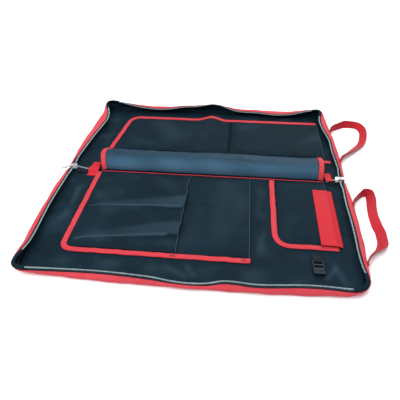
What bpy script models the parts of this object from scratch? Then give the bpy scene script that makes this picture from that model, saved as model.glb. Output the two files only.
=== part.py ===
"""Farrier tool bag, unzipped and lying open, built piece by piece.

Lengths are metres and +Z is up. The bag's fold runs along X, its front half is
at -Y, its back half at +Y, and both carrying handles lie out at +X. The origin
is on the ground, under the middle of the fold.
"""

import math

import bmesh
import bpy
from mathutils import Matrix, Vector

# The base and the fabric
BAG_LENGTH = 0.624
HALF_DEPTH = 0.3095
BASE_THICKNESS = 0.003
FABRIC = 0.0013
CLEARANCE = 0.0003
CORNER_FRONT_LEFT = 0.022
CORNER_FRONT_RIGHT = 0.034
CORNER_BACK_LEFT = 0.024
CORNER_BACK_RIGHT = 0.030

# How far the open bag's corners are drawn in from its plain rectangle, sideways
# and, at the front, toward the fold
DRAWN_FRONT_LEFT = 0.013
DRAWN_FRONT_RIGHT = 0.013
DRAWN_BACK_LEFT = 0.009
DRAWN_BACK_RIGHT = 0.010
DRAWN_FRONT = 0.008

# The wall round each half and the zip on its edge
WALL_WIDTH = 0.040
WALL_THICKNESS = 0.0016
TAPE_WIDTH = 0.0044
TAPE_THICKNESS = 0.0010
COIL_WIDTH = 0.0046
COIL_THICKNESS = 0.0026

# The sliders and their pull tabs
SLIDER_LENGTH = 0.0150
SLIDER_WIDTH = 0.0122
SLIDER_NOSE = 0.0084
SLIDER_PLATE = 0.0015
SLIDER_MOUTH = 0.0038
SLIDER_HEIGHT = 0.0120
CROWN_SPAN = 0.0078
CROWN_RISE = 0.0040
CROWN_RADIUS = 0.0007
PULL_LENGTH = 0.0330
PULL_WIDTH = 0.0090
PULL_THICKNESS = 0.0014
PULL_EYE_LENGTH = 0.0064
PULL_EYE_WIDTH = 0.0044
PULL_BAR = 0.0016
PULL_SLOPE = 3.4
LEFT_SLIDER_TILT = 12.0
LEFT_PULL_TURN = 12.0
RIGHT_SLIDER_TILT = 0.0
RIGHT_PULL_TURN = -3.0

# The closed end of the zip and the tabs over it
LEFT_TAIL_LENGTH = 0.064 * BAG_LENGTH
RIGHT_TAIL_LENGTH = 0.028 * BAG_LENGTH
TAIL_WIDTH = 0.022
TAIL_COIL_WIDTH = 0.0050
TAIL_COIL_HEIGHT = 0.0026
TAB_BACK = 0.033
LEFT_TAB_FRONT = -0.025
LEFT_TAB_COVER = 0.335
LEFT_TAB_FLARE = 0.0075
RIGHT_TAB_COVER = 0.480
EDGE_TAB_LENGTH = 0.0240

# The red binding tape
BINDING_WIDTH = 0.0110
BINDING_THICKNESS = 0.0026
HEM = 0.003

# The centre sleeve along the fold
SLEEVE_LEFT = -0.3766 * BAG_LENGTH
SLEEVE_RIGHT = 0.4119 * BAG_LENGTH
SLEEVE_DEPTH = 0.080
SLEEVE_HEIGHT = 0.027
SLEEVE_FRONT = 0.004
SLEEVE_BOW = 0.010
SLEEVE_RIGHT_BOW = 0.003
SLEEVE_THICKNESS = 0.0018
SLEEVE_EDGE = 0.0008
FOLD_BINDING_WIDTH = 0.0036

# The pockets on the front half
FRONT_POCKET_LEFT = -0.391 * BAG_LENGTH
FRONT_POCKET_RIGHT = 0.1715 * BAG_LENGTH
FRONT_POCKET_FRONT = -0.822 * HALF_DEPTH
FRONT_POCKET_RADIUS = 0.024
FRONT_POCKET_GAPE = 0.0046
TOOL_MOUTH = -0.0417 * BAG_LENGTH
PLEAT_SKEW = 0.010
TOOL_GAPE = 0.0040
PLEAT_HEIGHT = 0.0040
SIDE_POCKET_LEFT = 0.239 * BAG_LENGTH
SIDE_POCKET_RIGHT = 0.428 * BAG_LENGTH
SIDE_POCKET_FRONT = -0.680 * HALF_DEPTH
SIDE_POCKET_RADIUS = 0.032
SIDE_POCKET_GAPE = 0.0048
FLAP_WIDTH = 0.0380
FLAP_BEND = 0.0060
FLAP_SEAM = 0.0080
FLAP_SKEW = 0.0020
FLAP_BACK = -0.129 * HALF_DEPTH
FLAP_FRONT = -0.657 * HALF_DEPTH
POCKET_BACK = -0.006

# The pockets on the back half
BACK_POCKET_LEFT = -0.367 * BAG_LENGTH
BACK_POCKET_SLANT = 0.018
BACK_POCKET_SPLIT = 0.0833 * BAG_LENGTH
BACK_POCKET_RIGHT = 0.452 * BAG_LENGTH
BACK_POCKET_BACK = 0.864 * HALF_DEPTH
BACK_POCKET_FRONT = 0.310 * HALF_DEPTH
SPLIT_SEAM = 0.0040
BACK_POCKET_RADIUS = 0.030
BACK_POCKET_GAPE = 0.0048
RIDGE_HEIGHT = 0.0110
RIDGE_PLACE = 0.000
RIDGE_SPREAD = 0.036
POCKET_SLOPE = 0.010

# The buckle
BUCKLE_X = 0.363 * BAG_LENGTH
BUCKLE_BACK = -0.766 * HALF_DEPTH
BUCKLE_WIDTH = 0.0200
BUCKLE_LENGTH = 0.0330
BUCKLE_PLATE = 0.0025
BUCKLE_SLOT = 0.0046
BUCKLE_BAR = 0.0040
BUCKLE_LIP = 0.0105
BUCKLE_LIP_RISE = 0.0020
BUCKLE_LIP_TILT = -14.0
WEBBING_WIDTH = 0.0150
WEBBING_THICKNESS = 0.0012

# The handles
HANDLE_WIDTH = 0.0195
HANDLE_THICKNESS = 0.0014

# The wall's section at places along each half. Place 0 is the left end of the
# fold, 1 the left corner, 2 the right corner and 3 the right end of the fold.
# The other columns are shares of WALL_WIDTH: the height of the zip's edge, how
# far it leans in, how far the wall bulges out and how deep it is creased.
FRONT_WALL = (
    # place, height, lean, bulge, crease
    (0.00, 0.300, 0.330, 0.05, 0.00),
    (0.12, 0.400, 0.450, 0.10, 0.00),
    (0.35, 0.460, 0.500, 0.13, 0.00),
    (0.65, 0.480, 0.510, 0.14, 0.00),
    (0.84, 0.500, 0.460, 0.13, 0.00),
    (0.94, 0.520, 0.280, 0.10, 0.00),
    (1.00, 0.520, 0.130, 0.06, 0.02),
    (1.06, 0.480, 0.110, 0.12, 0.05),
    (1.25, 0.430, 0.190, 0.17, 0.09),
    (1.42, 0.450, 0.090, 0.17, 0.09),
    (1.48, 0.420, -0.040, 0.15, 0.09),
    (1.55, 0.420, -0.040, 0.15, 0.08),
    (1.62, 0.470, 0.180, 0.17, 0.09),
    (1.70, 0.450, 0.080, 0.16, 0.08),
    (1.85, 0.440, 0.200, 0.16, 0.09),
    (1.95, 0.450, 0.150, 0.12, 0.06),
    (2.00, 0.480, 0.180, 0.07, 0.02),
    (2.10, 0.480, 0.340, 0.10, 0.00),
    (2.30, 0.480, 0.450, 0.13, 0.00),
    (2.65, 0.460, 0.530, 0.13, 0.00),
    (2.85, 0.420, 0.450, 0.10, 0.00),
    (3.00, 0.300, 0.330, 0.05, 0.00),
)
BACK_WALL = (
    # place, height, lean, bulge, crease
    (0.00, 0.300, 0.330, 0.05, 0.00),
    (0.20, 0.430, 0.560, 0.12, 0.00),
    (0.42, 0.450, 0.740, 0.15, 0.00),
    (0.60, 0.450, 0.840, 0.16, 0.00),
    (0.73, 0.480, 0.830, 0.16, 0.00),
    (0.84, 0.580, 0.640, 0.12, 0.00),
    (0.93, 0.720, 0.340, 0.08, 0.00),
    (1.00, 0.780, 0.220, 0.06, 0.00),
    (1.06, 0.740, 0.340, 0.08, 0.00),
    (1.12, 0.600, 0.520, 0.14, 0.00),
    (1.18, 0.500, 0.610, 0.18, 0.00),
    (1.25, 0.450, 0.660, 0.20, 0.00),
    (1.31, 0.540, 0.670, 0.18, 0.00),
    (1.36, 0.680, 0.600, 0.12, 0.00),
    (1.44, 0.740, 0.560, 0.10, 0.00),
    (1.49, 0.880, 0.340, 0.05, 0.00),
    (1.52, 0.860, 0.340, 0.05, 0.00),
    (1.57, 0.660, 0.540, 0.12, 0.00),
    (1.63, 0.480, 0.660, 0.18, 0.00),
    (1.71, 0.450, 0.610, 0.20, 0.00),
    (1.78, 0.400, 0.740, 0.20, 0.00),
    (1.86, 0.440, 0.720, 0.18, 0.00),
    (1.92, 0.640, 0.600, 0.12, 0.00),
    (2.00, 0.740, 0.440, 0.07, 0.00),
    (2.08, 0.620, 0.560, 0.09, 0.00),
    (2.20, 0.520, 0.640, 0.12, 0.00),
    (2.35, 0.480, 0.590, 0.13, 0.00),
    (2.50, 0.460, 0.470, 0.13, 0.00),
    (2.65, 0.460, 0.510, 0.13, 0.00),
    (2.85, 0.420, 0.400, 0.10, 0.00),
    (3.00, 0.300, 0.330, 0.05, 0.00),
)

# The arch of the centre sleeve, from its front foot to its back foot, as
# shares of SLEEVE_DEPTH and SLEEVE_HEIGHT.
SLEEVE_ARCH = (
    # depth, height
    (0.00, 0.00),
    (0.02, 0.22),
    (0.07, 0.46),
    (0.16, 0.70),
    (0.30, 0.90),
    (0.46, 1.00),
    (0.62, 0.97),
    (0.76, 0.80),
    (0.89, 0.45),
    (1.00, 0.00),
)

# The pleated layer of tool sleeves, across it from the fold to the front edge.
# The place is a share of the raised part of the pocket below, the lift a share
# of TOOL_GAPE, the pleat a share of PLEAT_HEIGHT at the mouth and the skew a
# share of PLEAT_SKEW, by which a fold's left end lies nearer the front.
TOOL_SLEEVES = (
    # place, lift, pleat, skew
    (0.000, 0.00, 0.00, 0.0),
    (0.050, 1.00, 0.00, 0.0),
    (0.300, 1.00, 0.05, 0.2),
    (0.430, 1.00, 0.75, 0.7),
    (0.498, 1.00, 1.00, 0.9),
    (0.516, 0.00, 0.00, 0.9),
    (0.532, 0.00, 0.00, 0.9),
    (0.556, 1.00, 0.00, 0.9),
    (0.700, 1.00, 0.05, 1.0),
    (0.830, 1.00, 0.75, 1.0),
    (0.885, 1.00, 1.00, 1.0),
    (0.903, 0.00, 0.00, 1.0),
    (0.916, 0.00, 0.00, 0.9),
    (0.938, 1.00, 0.00, 0.6),
    (1.000, 1.00, 0.00, 0.0),
)

# The two handles from one sewn end to the other. Out is measured from the
# wall's outer face and along from the handle's own place on the wall, both as
# shares of HANDLE_REACH. Rise is the height added over lying on the ground, as
# a share of HANDLE_WIDTH. Roll is 90 where the webbing stands on its edge and
# 0 where it lies flat.
HANDLE_REACH = 0.100
FRONT_HANDLE_AT = -0.485 * HALF_DEPTH
BACK_HANDLE_AT = 0.517 * HALF_DEPTH
FRONT_LOOP = (
    # out, along, rise, roll
    (0.00, 0.54, 0.05, 90),
    (0.00, 0.70, 0.05, 90),
    (0.05, 0.84, 0.04, 88),
    (0.19, 1.02, 0.02, 84),
    (0.32, 1.13, 0.01, 74),
    (0.42, 1.12, 0.01, 52),
    (0.44, 0.98, 0.01, 20),
    (0.40, 0.72, 0.00, 8),
    (0.37, 0.40, 0.00, 12),
    (0.37, 0.12, 0.00, 28),
    (0.41, -0.10, 0.00, 22),
    (0.41, -0.32, 0.00, 14),
    (0.34, -0.52, 0.00, 34),
    (0.21, -0.68, 0.00, 62),
    (0.09, -0.80, 0.02, 84),
    (0.03, -0.92, 0.04, 90),
    (0.00, -1.06, 0.05, 90),
    (0.00, -1.22, 0.05, 90),
)
BACK_LOOP = (
    # out, along, rise, roll
    (0.00, 0.40, 0.05, 90),
    (0.00, 0.58, 0.05, 90),
    (0.05, 0.72, 0.04, 88),
    (0.19, 0.86, 0.03, 82),
    (0.37, 1.00, 0.02, 66),
    (0.56, 1.02, 0.01, 50),
    (0.70, 0.92, 0.01, 44),
    (0.74, 0.70, 0.00, 36),
    (0.69, 0.38, 0.00, 28),
    (0.60, 0.10, 0.00, 24),
    (0.42, -0.16, 0.00, 28),
    (0.24, -0.40, 0.00, 42),
    (0.11, -0.60, 0.01, 72),
    (0.03, -0.76, 0.04, 90),
    (0.00, -0.92, 0.05, 90),
    (0.00, -1.08, 0.05, 90),
)

# Colours, as linear red, green and blue
BLACK_NYLON = (0.012, 0.017, 0.022)
BLACK_TAPE = (0.010, 0.013, 0.016)
SLEEVE_NYLON = (0.040, 0.066, 0.100)
RED_FABRIC = (0.62, 0.018, 0.030)
COIL_GREY = (0.30, 0.35, 0.38)
PULL_METAL = (0.74, 0.76, 0.78)
BLACK_PLASTIC = (0.014, 0.017, 0.020)

BASE_TOP = BASE_THICKNESS
POCKET_FLOOR = BASE_TOP + CLEARANCE
EDGE_X = BAG_LENGTH / 2 + CLEARANCE + WALL_THICKNESS / 2
EDGE_Y = HALF_DEPTH + CLEARANCE + WALL_THICKNESS / 2
FOLD_GAP = SLIDER_WIDTH / 2 + 2 * CLEARANCE
ARC_STEPS = 5
SIDE_STEPS = 9
BACK_STEPS = 24


def clear_scene():
    for old in list(bpy.data.objects):
        bpy.data.objects.remove(old, do_unlink=True)


def make_collection(name):
    made = bpy.data.collections.new(name)
    bpy.context.scene.collection.children.link(made)
    return made


def make_material(name, colour, roughness, metallic=0.0):
    made = bpy.data.materials.new(name)
    made.use_nodes = True
    shader = made.node_tree.nodes["Principled BSDF"]
    shader.inputs["Base Color"].default_value = (*colour, 1.0)
    shader.inputs["Roughness"].default_value = roughness
    shader.inputs["Metallic"].default_value = metallic
    return made


def add_object(name, data, look, parts):
    """Link one named object that has its own material."""
    colour, roughness, metallic = look
    made = bpy.data.objects.new(name, data)
    data.materials.clear()
    data.materials.append(make_material(name + "_material", colour, roughness, metallic))
    parts.objects.link(made)
    return made


FABRIC_LOOK = (BLACK_NYLON, 0.62, 0.0)
RED_LOOK = (RED_FABRIC, 0.60, 0.0)
TAPE_LOOK = (BLACK_TAPE, 0.75, 0.0)
SLEEVE_LOOK = (SLEEVE_NYLON, 0.45, 0.0)
COIL_LOOK = (COIL_GREY, 0.35, 0.3)
METAL_LOOK = (PULL_METAL, 0.28, 1.0)
PLASTIC_LOOK = (BLACK_PLASTIC, 0.40, 0.0)


def sheet(name, rows, thickness, offset, look, parts):
    """A cloth panel: a grid of points, thickened by a Solidify modifier.

    The grid's normals face the side that is seen, so an offset of 1 grows the
    panel upward from the points and 0 grows it to both sides of them.
    """
    shape = bmesh.new()
    grid = [[shape.verts.new(point) for point in row] for row in rows]
    for lower, upper in zip(grid, grid[1:]):
        for i in range(len(lower) - 1):
            shape.faces.new((lower[i], lower[i + 1], upper[i + 1], upper[i]))
    data = bpy.data.meshes.new(name)
    shape.to_mesh(data)
    shape.free()
    made = add_object(name, data, look, parts)
    solid = made.modifiers.new("cloth", "SOLIDIFY")
    solid.thickness = thickness
    solid.offset = offset
    solid.use_even_offset = True
    return made


def loft(name, rings, look, parts):
    """A closed band through rings of points that run the same way round."""
    shape = bmesh.new()
    loops = [[shape.verts.new(point) for point in ring] for ring in rings]
    count = len(loops[0])
    for first, second in zip(loops, loops[1:]):
        for i in range(count):
            j = (i + 1) % count
            shape.faces.new((first[i], first[j], second[j], second[i]))
    shape.faces.new(list(reversed(loops[0])))
    shape.faces.new(loops[-1])
    bmesh.ops.recalc_face_normals(shape, faces=shape.faces)
    data = bpy.data.meshes.new(name)
    shape.to_mesh(data)
    shape.free()
    return add_object(name, data, look, parts)


def flat_plate(name, outlines, thickness, look, parts):
    """A flat plate with rounded outlines: a filled 2D curve with an extrude."""
    curve = bpy.data.curves.new(name, "CURVE")
    curve.dimensions = "2D"
    curve.fill_mode = "BOTH"
    curve.extrude = thickness / 2
    for outline in outlines:
        spline = curve.splines.new("POLY")
        spline.points.add(len(outline) - 1)
        for point, (x, y) in zip(spline.points, outline):
            point.co = (x, y, 0.0, 1.0)
        spline.use_cyclic_u = True
    return add_object(name, curve, look, parts)


def as_mesh(made):
    """Turn an object into a plain mesh object with its modifiers applied."""
    bpy.context.view_layer.update()
    graph = bpy.context.evaluated_depsgraph_get()
    data = bpy.data.meshes.new_from_object(made.evaluated_get(graph))
    shape = bmesh.new()
    shape.from_mesh(data)
    bmesh.ops.remove_doubles(shape, verts=shape.verts, dist=0.00001)
    bmesh.ops.recalc_face_normals(shape, faces=shape.faces)
    shape.to_mesh(data)
    shape.free()
    name = made.name
    material = made.data.materials[0]
    place = made.matrix_world.copy()
    homes = list(made.users_collection)
    bpy.data.objects.remove(made, do_unlink=True)
    fresh = bpy.data.objects.new(name, data)
    fresh.matrix_world = place
    data.name = name
    data.materials.clear()
    data.materials.append(material)
    for home in homes:
        home.objects.link(fresh)
    return fresh


def combine(made, operand, operation, cutters):
    """Add a Boolean modifier and put its operand in the cutters' collection."""
    cut = made.modifiers.new(operand.name, "BOOLEAN")
    cut.operation = operation
    cut.solver = "EXACT"
    cut.object = operand
    for home in list(operand.users_collection):
        home.objects.unlink(operand)
    cutters.objects.link(operand)
    operand.hide_render = True
    operand.display_type = "WIRE"


def box(name, size, centre, look, parts):
    shape = bmesh.new()
    bmesh.ops.create_cube(shape, size=1.0, matrix=Matrix.Diagonal((*size, 1.0)))
    data = bpy.data.meshes.new(name)
    shape.to_mesh(data)
    shape.free()
    made = add_object(name, data, look, parts)
    made.location = centre
    return made


def smooth(table, place):
    """Read a table's columns at a place, on a curve through its rows."""
    last = len(table) - 1
    i = 0
    while i < last - 1 and table[i + 1][0] < place:
        i += 1
    span = table[i + 1][0] - table[i][0]
    t = min(max((place - table[i][0]) / span, 0.0), 1.0)
    values = []
    for column in range(1, len(table[0])):
        before = slope(table, i, column) * span
        after = slope(table, i + 1, column) * span
        start = table[i][column]
        end = table[i + 1][column]
        rise = 3 * (end - start) - 2 * before - after
        bend = 2 * (start - end) + before + after
        values.append(start + t * (before + t * (rise + t * bend)))
    return values


def slope(table, i, column):
    """The slope of a column at one row, level where it turns."""
    if i == 0 or i == len(table) - 1:
        return 0.0
    before = (table[i][column] - table[i - 1][column]) / (table[i][0] - table[i - 1][0])
    after = (table[i + 1][column] - table[i][column]) / (table[i + 1][0] - table[i][0])
    if before * after <= 0.0:
        return 0.0
    return 2 * before * after / (before + after)


def spread(first, last, steps):
    return [first + (last - first) * i / steps for i in range(steps + 1)]


def corner(centre, radius, start, steps):
    """Points and outward directions round a quarter turn, clockwise from above."""
    found = []
    for i in range(steps + 1):
        angle = math.radians(start - 90.0 * i / steps)
        outward = Vector((math.cos(angle), math.sin(angle), 0.0))
        found.append((Vector(centre) + outward * radius, outward))
    return found


def half_outline(left_radius, right_radius):
    """The back half's edge from the left fold end to the right one.

    Each station is its place in the wall tables, its point and the direction
    straight out of the bag.
    """
    left = Vector((-1.0, 0.0, 0.0))
    back = Vector((0.0, 1.0, 0.0))
    right = Vector((1.0, 0.0, 0.0))
    first_x = left_radius - EDGE_X
    last_x = EDGE_X - right_radius
    left_turn = corner((first_x, EDGE_Y - left_radius, 0.0), left_radius, 180.0, 2 * ARC_STEPS)
    right_turn = corner((last_x, EDGE_Y - right_radius, 0.0), right_radius, 90.0, 2 * ARC_STEPS)
    left_ys = spread(FOLD_GAP, EDGE_Y - left_radius, SIDE_STEPS)
    right_ys = spread(EDGE_Y - right_radius, FOLD_GAP, SIDE_STEPS)
    found = [(Vector((-EDGE_X, y, 0.0)), left) for y in left_ys]
    found += left_turn[1:]
    found += [(Vector((x, EDGE_Y, 0.0)), back) for x in spread(first_x, last_x, BACK_STEPS)[1:]]
    found += right_turn[1:]
    found += [(Vector((EDGE_X, y, 0.0)), right) for y in right_ys[1:]]
    lengths = [0.0]
    for (before, _), (after, _) in zip(found, found[1:]):
        lengths.append(lengths[-1] + (after - before).length)
    first_mark = SIDE_STEPS + ARC_STEPS
    marks = (0.0, lengths[first_mark], lengths[first_mark + 2 * ARC_STEPS + BACK_STEPS], lengths[-1])
    stations = []
    for length, (point, outward) in zip(lengths, found):
        part = sum(length > mark for mark in marks[1:3])
        place = part + (length - marks[part]) / (marks[part + 1] - marks[part])
        stations.append((place, point, outward))
    return stations


def mirrored(stations):
    """The front half's stations: the back half's outline turned over the fold."""
    flip = Vector((1.0, -1.0, 1.0))
    return [(place, point * flip, outward * flip) for place, point, outward in stations]


def drawn_in(stations):
    """Draw the outline in toward its corners, as the open bag's cloth is."""
    found = []
    for place, point, outward in stations:
        u = point.x / EDGE_X
        v = point.y / EDGE_Y
        front, back = (DRAWN_FRONT_LEFT, DRAWN_BACK_LEFT) if u < 0 else (DRAWN_FRONT_RIGHT, DRAWN_BACK_RIGHT)
        sideways = front if v < 0 else back
        forward = DRAWN_FRONT if v < 0 else 0.0
        drawn = Vector((point.x - u * v * v * sideways, point.y - v * u * u * forward, 0.0))
        found.append((place, drawn, outward))
    return found


class WallSection:
    """The wall at one station, as a curve from its foot to the zip's edge."""

    STEPS = 24
    CREASE_PLACE = 0.55
    CREASE_SPREAD = 0.14
    BULGE_GAIN = 6.4

    def __init__(self, table, place, point, outward):
        height, lean, bulge, crease = (WALL_WIDTH * share for share in smooth(table, place))
        self.point = point
        self.outward = outward
        self.curve = []
        for i in range(self.STEPS + 1):
            t = i / self.STEPS
            fold = crease * math.exp(-(((t - self.CREASE_PLACE) / self.CREASE_SPREAD) ** 2))
            out = self.BULGE_GAIN * bulge * t * (1 - t) - lean * t * t - fold
            self.curve.append((out, height * math.sin(math.pi * t / 2)))
        self.lengths = [0.0]
        for (out0, up0), (out1, up1) in zip(self.curve, self.curve[1:]):
            self.lengths.append(self.lengths[-1] + math.hypot(out1 - out0, up1 - up0))
        self.total = self.lengths[-1]

    def at(self, distance):
        """The point and the two directions of the wall, measured from the zip's edge."""
        wanted = self.total - distance
        i = 1
        while i < self.STEPS and self.lengths[i] < wanted:
            i += 1
        (out0, up0), (out1, up1) = self.curve[i - 1], self.curve[i]
        span = self.lengths[i] - self.lengths[i - 1]
        t = (wanted - self.lengths[i - 1]) / span
        up = Vector((0.0, 0.0, 1.0))
        place = self.point + self.outward * (out0 + t * (out1 - out0)) + up * (up0 + t * (up1 - up0))
        along = (self.outward * (out1 - out0) + up * (up1 - up0)) / span
        across = (self.outward * (up1 - up0) - up * (out1 - out0)) / span
        return place, along, across

    def reach(self):
        """How far the wall's outer face bulges out of the base's edge."""
        return max(out for out, _ in self.curve) + WALL_THICKNESS / 2


def wall_sections(table, stations):
    return [WallSection(table, place, point, outward) for place, point, outward in stations]


def build_base(stations, parts):
    """One black panel under both halves, just inside the walls' feet."""
    inset = CLEARANCE + WALL_THICKNESS / 2
    outline = [tuple((point - outward * inset)[:2]) for _, point, outward in stations]
    base = flat_plate("base_panel", [outline], BASE_THICKNESS, FABRIC_LOOK, parts)
    base.location.z = BASE_THICKNESS / 2


def build_wall(half, sections, parts):
    """The red gusset of one half, the zip tape on its edge and the coil."""
    zip_width = COIL_WIDTH + TAPE_WIDTH + 3 * CLEARANCE
    gusset = []
    for share in spread(1.0, 0.0, 5):
        row = []
        for section in sections:
            span = section.total - zip_width
            place, _, across = section.at(zip_width + share * span)
            foot = (WALL_THICKNESS + CLEARANCE) / 2 * abs(across.z) * share ** 4
            row.append(place + Vector((0.0, 0.0, foot)))
        gusset.append(row)
    facing = gusset if half == "front" else gusset[::-1]
    sheet(half + "_gusset", facing, WALL_THICKNESS, 0.0, RED_LOOK, parts)
    tape_edges = (COIL_WIDTH + TAPE_WIDTH + CLEARANCE, COIL_WIDTH + CLEARANCE)
    tape = [[section.at(distance)[0] for section in sections] for distance in tape_edges]
    facing = tape if half == "front" else tape[::-1]
    sheet(half + "_zip_tape", facing, TAPE_THICKNESS, 0.0, TAPE_LOOK, parts)
    rings = []
    for section in sections:
        centre, along, across = section.at(COIL_WIDTH / 2)
        rings.append([
            centre + along * (COIL_WIDTH / 2 * a) + across * (COIL_THICKNESS / 2 * b)
            for a, b in ((1, 0), (0.5, 1), (-0.5, 1), (-1, 0), (-0.5, -1), (0.5, -1))
        ])
    loft(half + "_zip_coil", rings, COIL_LOOK, parts)


def band_rings(points, width, thickness):
    """Rings of a flat band that lies along a path of points on the ground."""
    rings = []
    for i, point in enumerate(points):
        before = points[max(i - 1, 0)]
        after = points[min(i + 1, len(points) - 1)]
        ahead = after - before
        ahead.z = 0.0
        ahead.normalize()
        side = Vector((ahead.y, -ahead.x, 0.0))
        shape = ((-0.5, 0.0), (0.5, 0.0), (0.5, 0.55), (0.32, 1.0), (-0.32, 1.0), (-0.5, 0.55))
        rings.append([point + side * (width * a) + Vector((0.0, 0.0, thickness * b)) for a, b in shape])
    return rings


def ramp(value, foot, slope_width):
    """0 at the foot and 1 past the slope."""
    return min(max((value - foot) / slope_width, 0.0), 1.0)


def oriented(rows):
    """Order the rows so that their faces look up."""
    across = rows[0][1] - rows[0][0]
    ahead = rows[1][0] - rows[0][0]
    return rows if across.cross(ahead).z > 0 else rows[::-1]


class Pocket:
    """A flat pocket: bound along its left and far sides, sewn near the fold, open at the right."""

    def __init__(self, left, right, far, near, radius, gape):
        self.turn = 1.0 if far > near else -1.0
        self.left = left
        self.right = right
        self.far = far
        self.near = near
        self.radius = radius
        self.gape = gape
        self.inner = radius - BINDING_WIDTH - 2 * CLEARANCE
        self.corner_x = left + radius
        self.corner_y = far - self.turn * radius

    def left_end(self, y):
        """Where the panel meets the inner side of its binding."""
        past = min(max(self.turn * (y - self.corner_y), 0.0), self.inner)
        return self.corner_x - math.sqrt(self.inner ** 2 - past ** 2)

    def inset(self, x, y):
        """How far a point lies from the nearest sewn side."""
        over = max(self.corner_x - x, 0.0)
        past = max(self.turn * (y - self.corner_y), 0.0)
        bound = self.inner - math.hypot(over, past) if over and past else self.inner - max(over, past)
        if not over and not past:
            from_left = x - self.corner_x + self.inner
            from_far = self.turn * (self.corner_y - y) + self.inner
            bound = min(from_left, from_far)
        return min(bound, self.turn * (y - self.near))

    def height(self, x, y):
        """The panel's underside: flat along the seams, then raised over the base."""
        return POCKET_FLOOR + self.gape * ramp(self.inset(x, y), HEM, POCKET_SLOPE)

    def row_places(self):
        """The rows across the panel where its shape changes, from the fold to the far side."""
        edge = self.far - self.turn * (BINDING_WIDTH + 2 * CLEARANCE)
        slope_end = HEM + POCKET_SLOPE
        near = [self.near + self.turn * d for d in (0.0, HEM, slope_end)]
        mid = 0.5 * (near[-1] + edge - self.turn * slope_end)
        far = [edge - self.turn * d for d in (slope_end, 0.6 * slope_end, HEM, 0.0)]
        return near + [mid] + far

    def binding(self, xs, lift=None):
        """The middle of the binding, along the left side, round the corner and along the far side."""
        half = BINDING_WIDTH / 2
        ys = spread(self.near, self.corner_y, 3)
        path = [Vector((self.left + half, y, POCKET_FLOOR)) for y in ys]
        reach = self.radius - half
        for i in range(1, ARC_STEPS + 1):
            angle = math.pi / 2 * i / ARC_STEPS
            x = self.corner_x - reach * math.cos(angle)
            path.append(Vector((x, self.corner_y + self.turn * reach * math.sin(angle), POCKET_FLOOR)))
        path += [Vector((x, self.far - self.turn * half, POCKET_FLOOR)) for x in xs]
        if lift:
            path = [point + Vector((0.0, 0.0, lift(point.x, point.y))) for point in path]
        return path


def panel_rows(pocket, ys, right, shares, height):
    """Rows of a panel with a flat hem and a slope at the left and a free right edge."""
    rows = []
    for y in ys:
        left = pocket.left_end(y)
        start = left + HEM + POCKET_SLOPE
        xs = [left, left + HEM] + [start + share * (right - start) for share in shares]
        rows.append([Vector((x, y, height(x, y))) for x in xs])
    return rows


def front_left():
    return Pocket(FRONT_POCKET_LEFT, FRONT_POCKET_RIGHT, FRONT_POCKET_FRONT, POCKET_BACK,
                  FRONT_POCKET_RADIUS, FRONT_POCKET_GAPE)


def build_front_left_pocket(parts):
    pocket = front_left()
    rows = panel_rows(pocket, pocket.row_places(), pocket.right, (0.0, 0.3, 0.6, 1.0), pocket.height)
    sheet("front_left_pocket", oriented(rows), FABRIC, 1.0, FABRIC_LOOK, parts)
    path = pocket.binding(spread(pocket.corner_x, pocket.right + 0.002, 5)[1:])
    loft("front_left_binding", band_rings(path, BINDING_WIDTH, BINDING_THICKNESS), RED_LOOK, parts)


def build_tool_sleeves(parts):
    """The pleated layer: three sleeves whose mouths face right, puffed toward the mouth."""
    pocket = front_left()
    places = pocket.row_places()
    first = places[2]
    last = places[4]
    step = FABRIC + 2 * CLEARANCE
    table = [(places[0], 0.0, 0.0, 0.0), (places[1], 0.0, 0.0, 0.0)]
    table += [(first + row[0] * (last - first), *row[1:]) for row in TOOL_SLEEVES]
    table += [(y, 0.0, 0.0, 0.0) for y in places[5:]]
    rows = []
    for y, lift, pleat, skew in table:
        left = pocket.left_end(y)
        start = left + HEM + POCKET_SLOPE
        row = [Vector((x, y, pocket.height(x, y) + step)) for x in (left, left + HEM, start)]
        for share in (0.10, 0.35, 0.65, 1.0):
            x = start + share * (TOOL_MOUTH - start)
            back = y - PLEAT_SKEW * skew * (1.0 - share)
            rise = lift * TOOL_GAPE + pleat * PLEAT_HEIGHT * share
            row.append(Vector((x, back, pocket.height(x, y) + step + rise)))
        rows.append(row)
    sheet("tool_sleeves", oriented(rows), FABRIC, 1.0, FABRIC_LOOK, parts)


def build_front_right_pocket(parts):
    pocket = Pocket(SIDE_POCKET_LEFT, SIDE_POCKET_RIGHT, SIDE_POCKET_FRONT, POCKET_BACK,
                    SIDE_POCKET_RADIUS, SIDE_POCKET_GAPE)
    ys = pocket.row_places()
    ys.insert(4, pocket.corner_y)
    rows = panel_rows(pocket, ys, pocket.right, (0.0, 0.5, 1.0), pocket.height)
    sheet("front_right_pocket", oriented(rows), FABRIC, 1.0, FABRIC_LOOK, parts)
    path = pocket.binding(spread(pocket.corner_x, pocket.right + 0.002, 3)[1:])
    loft("front_right_binding", band_rings(path, BINDING_WIDTH, BINDING_THICKNESS), RED_LOOK, parts)


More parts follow.
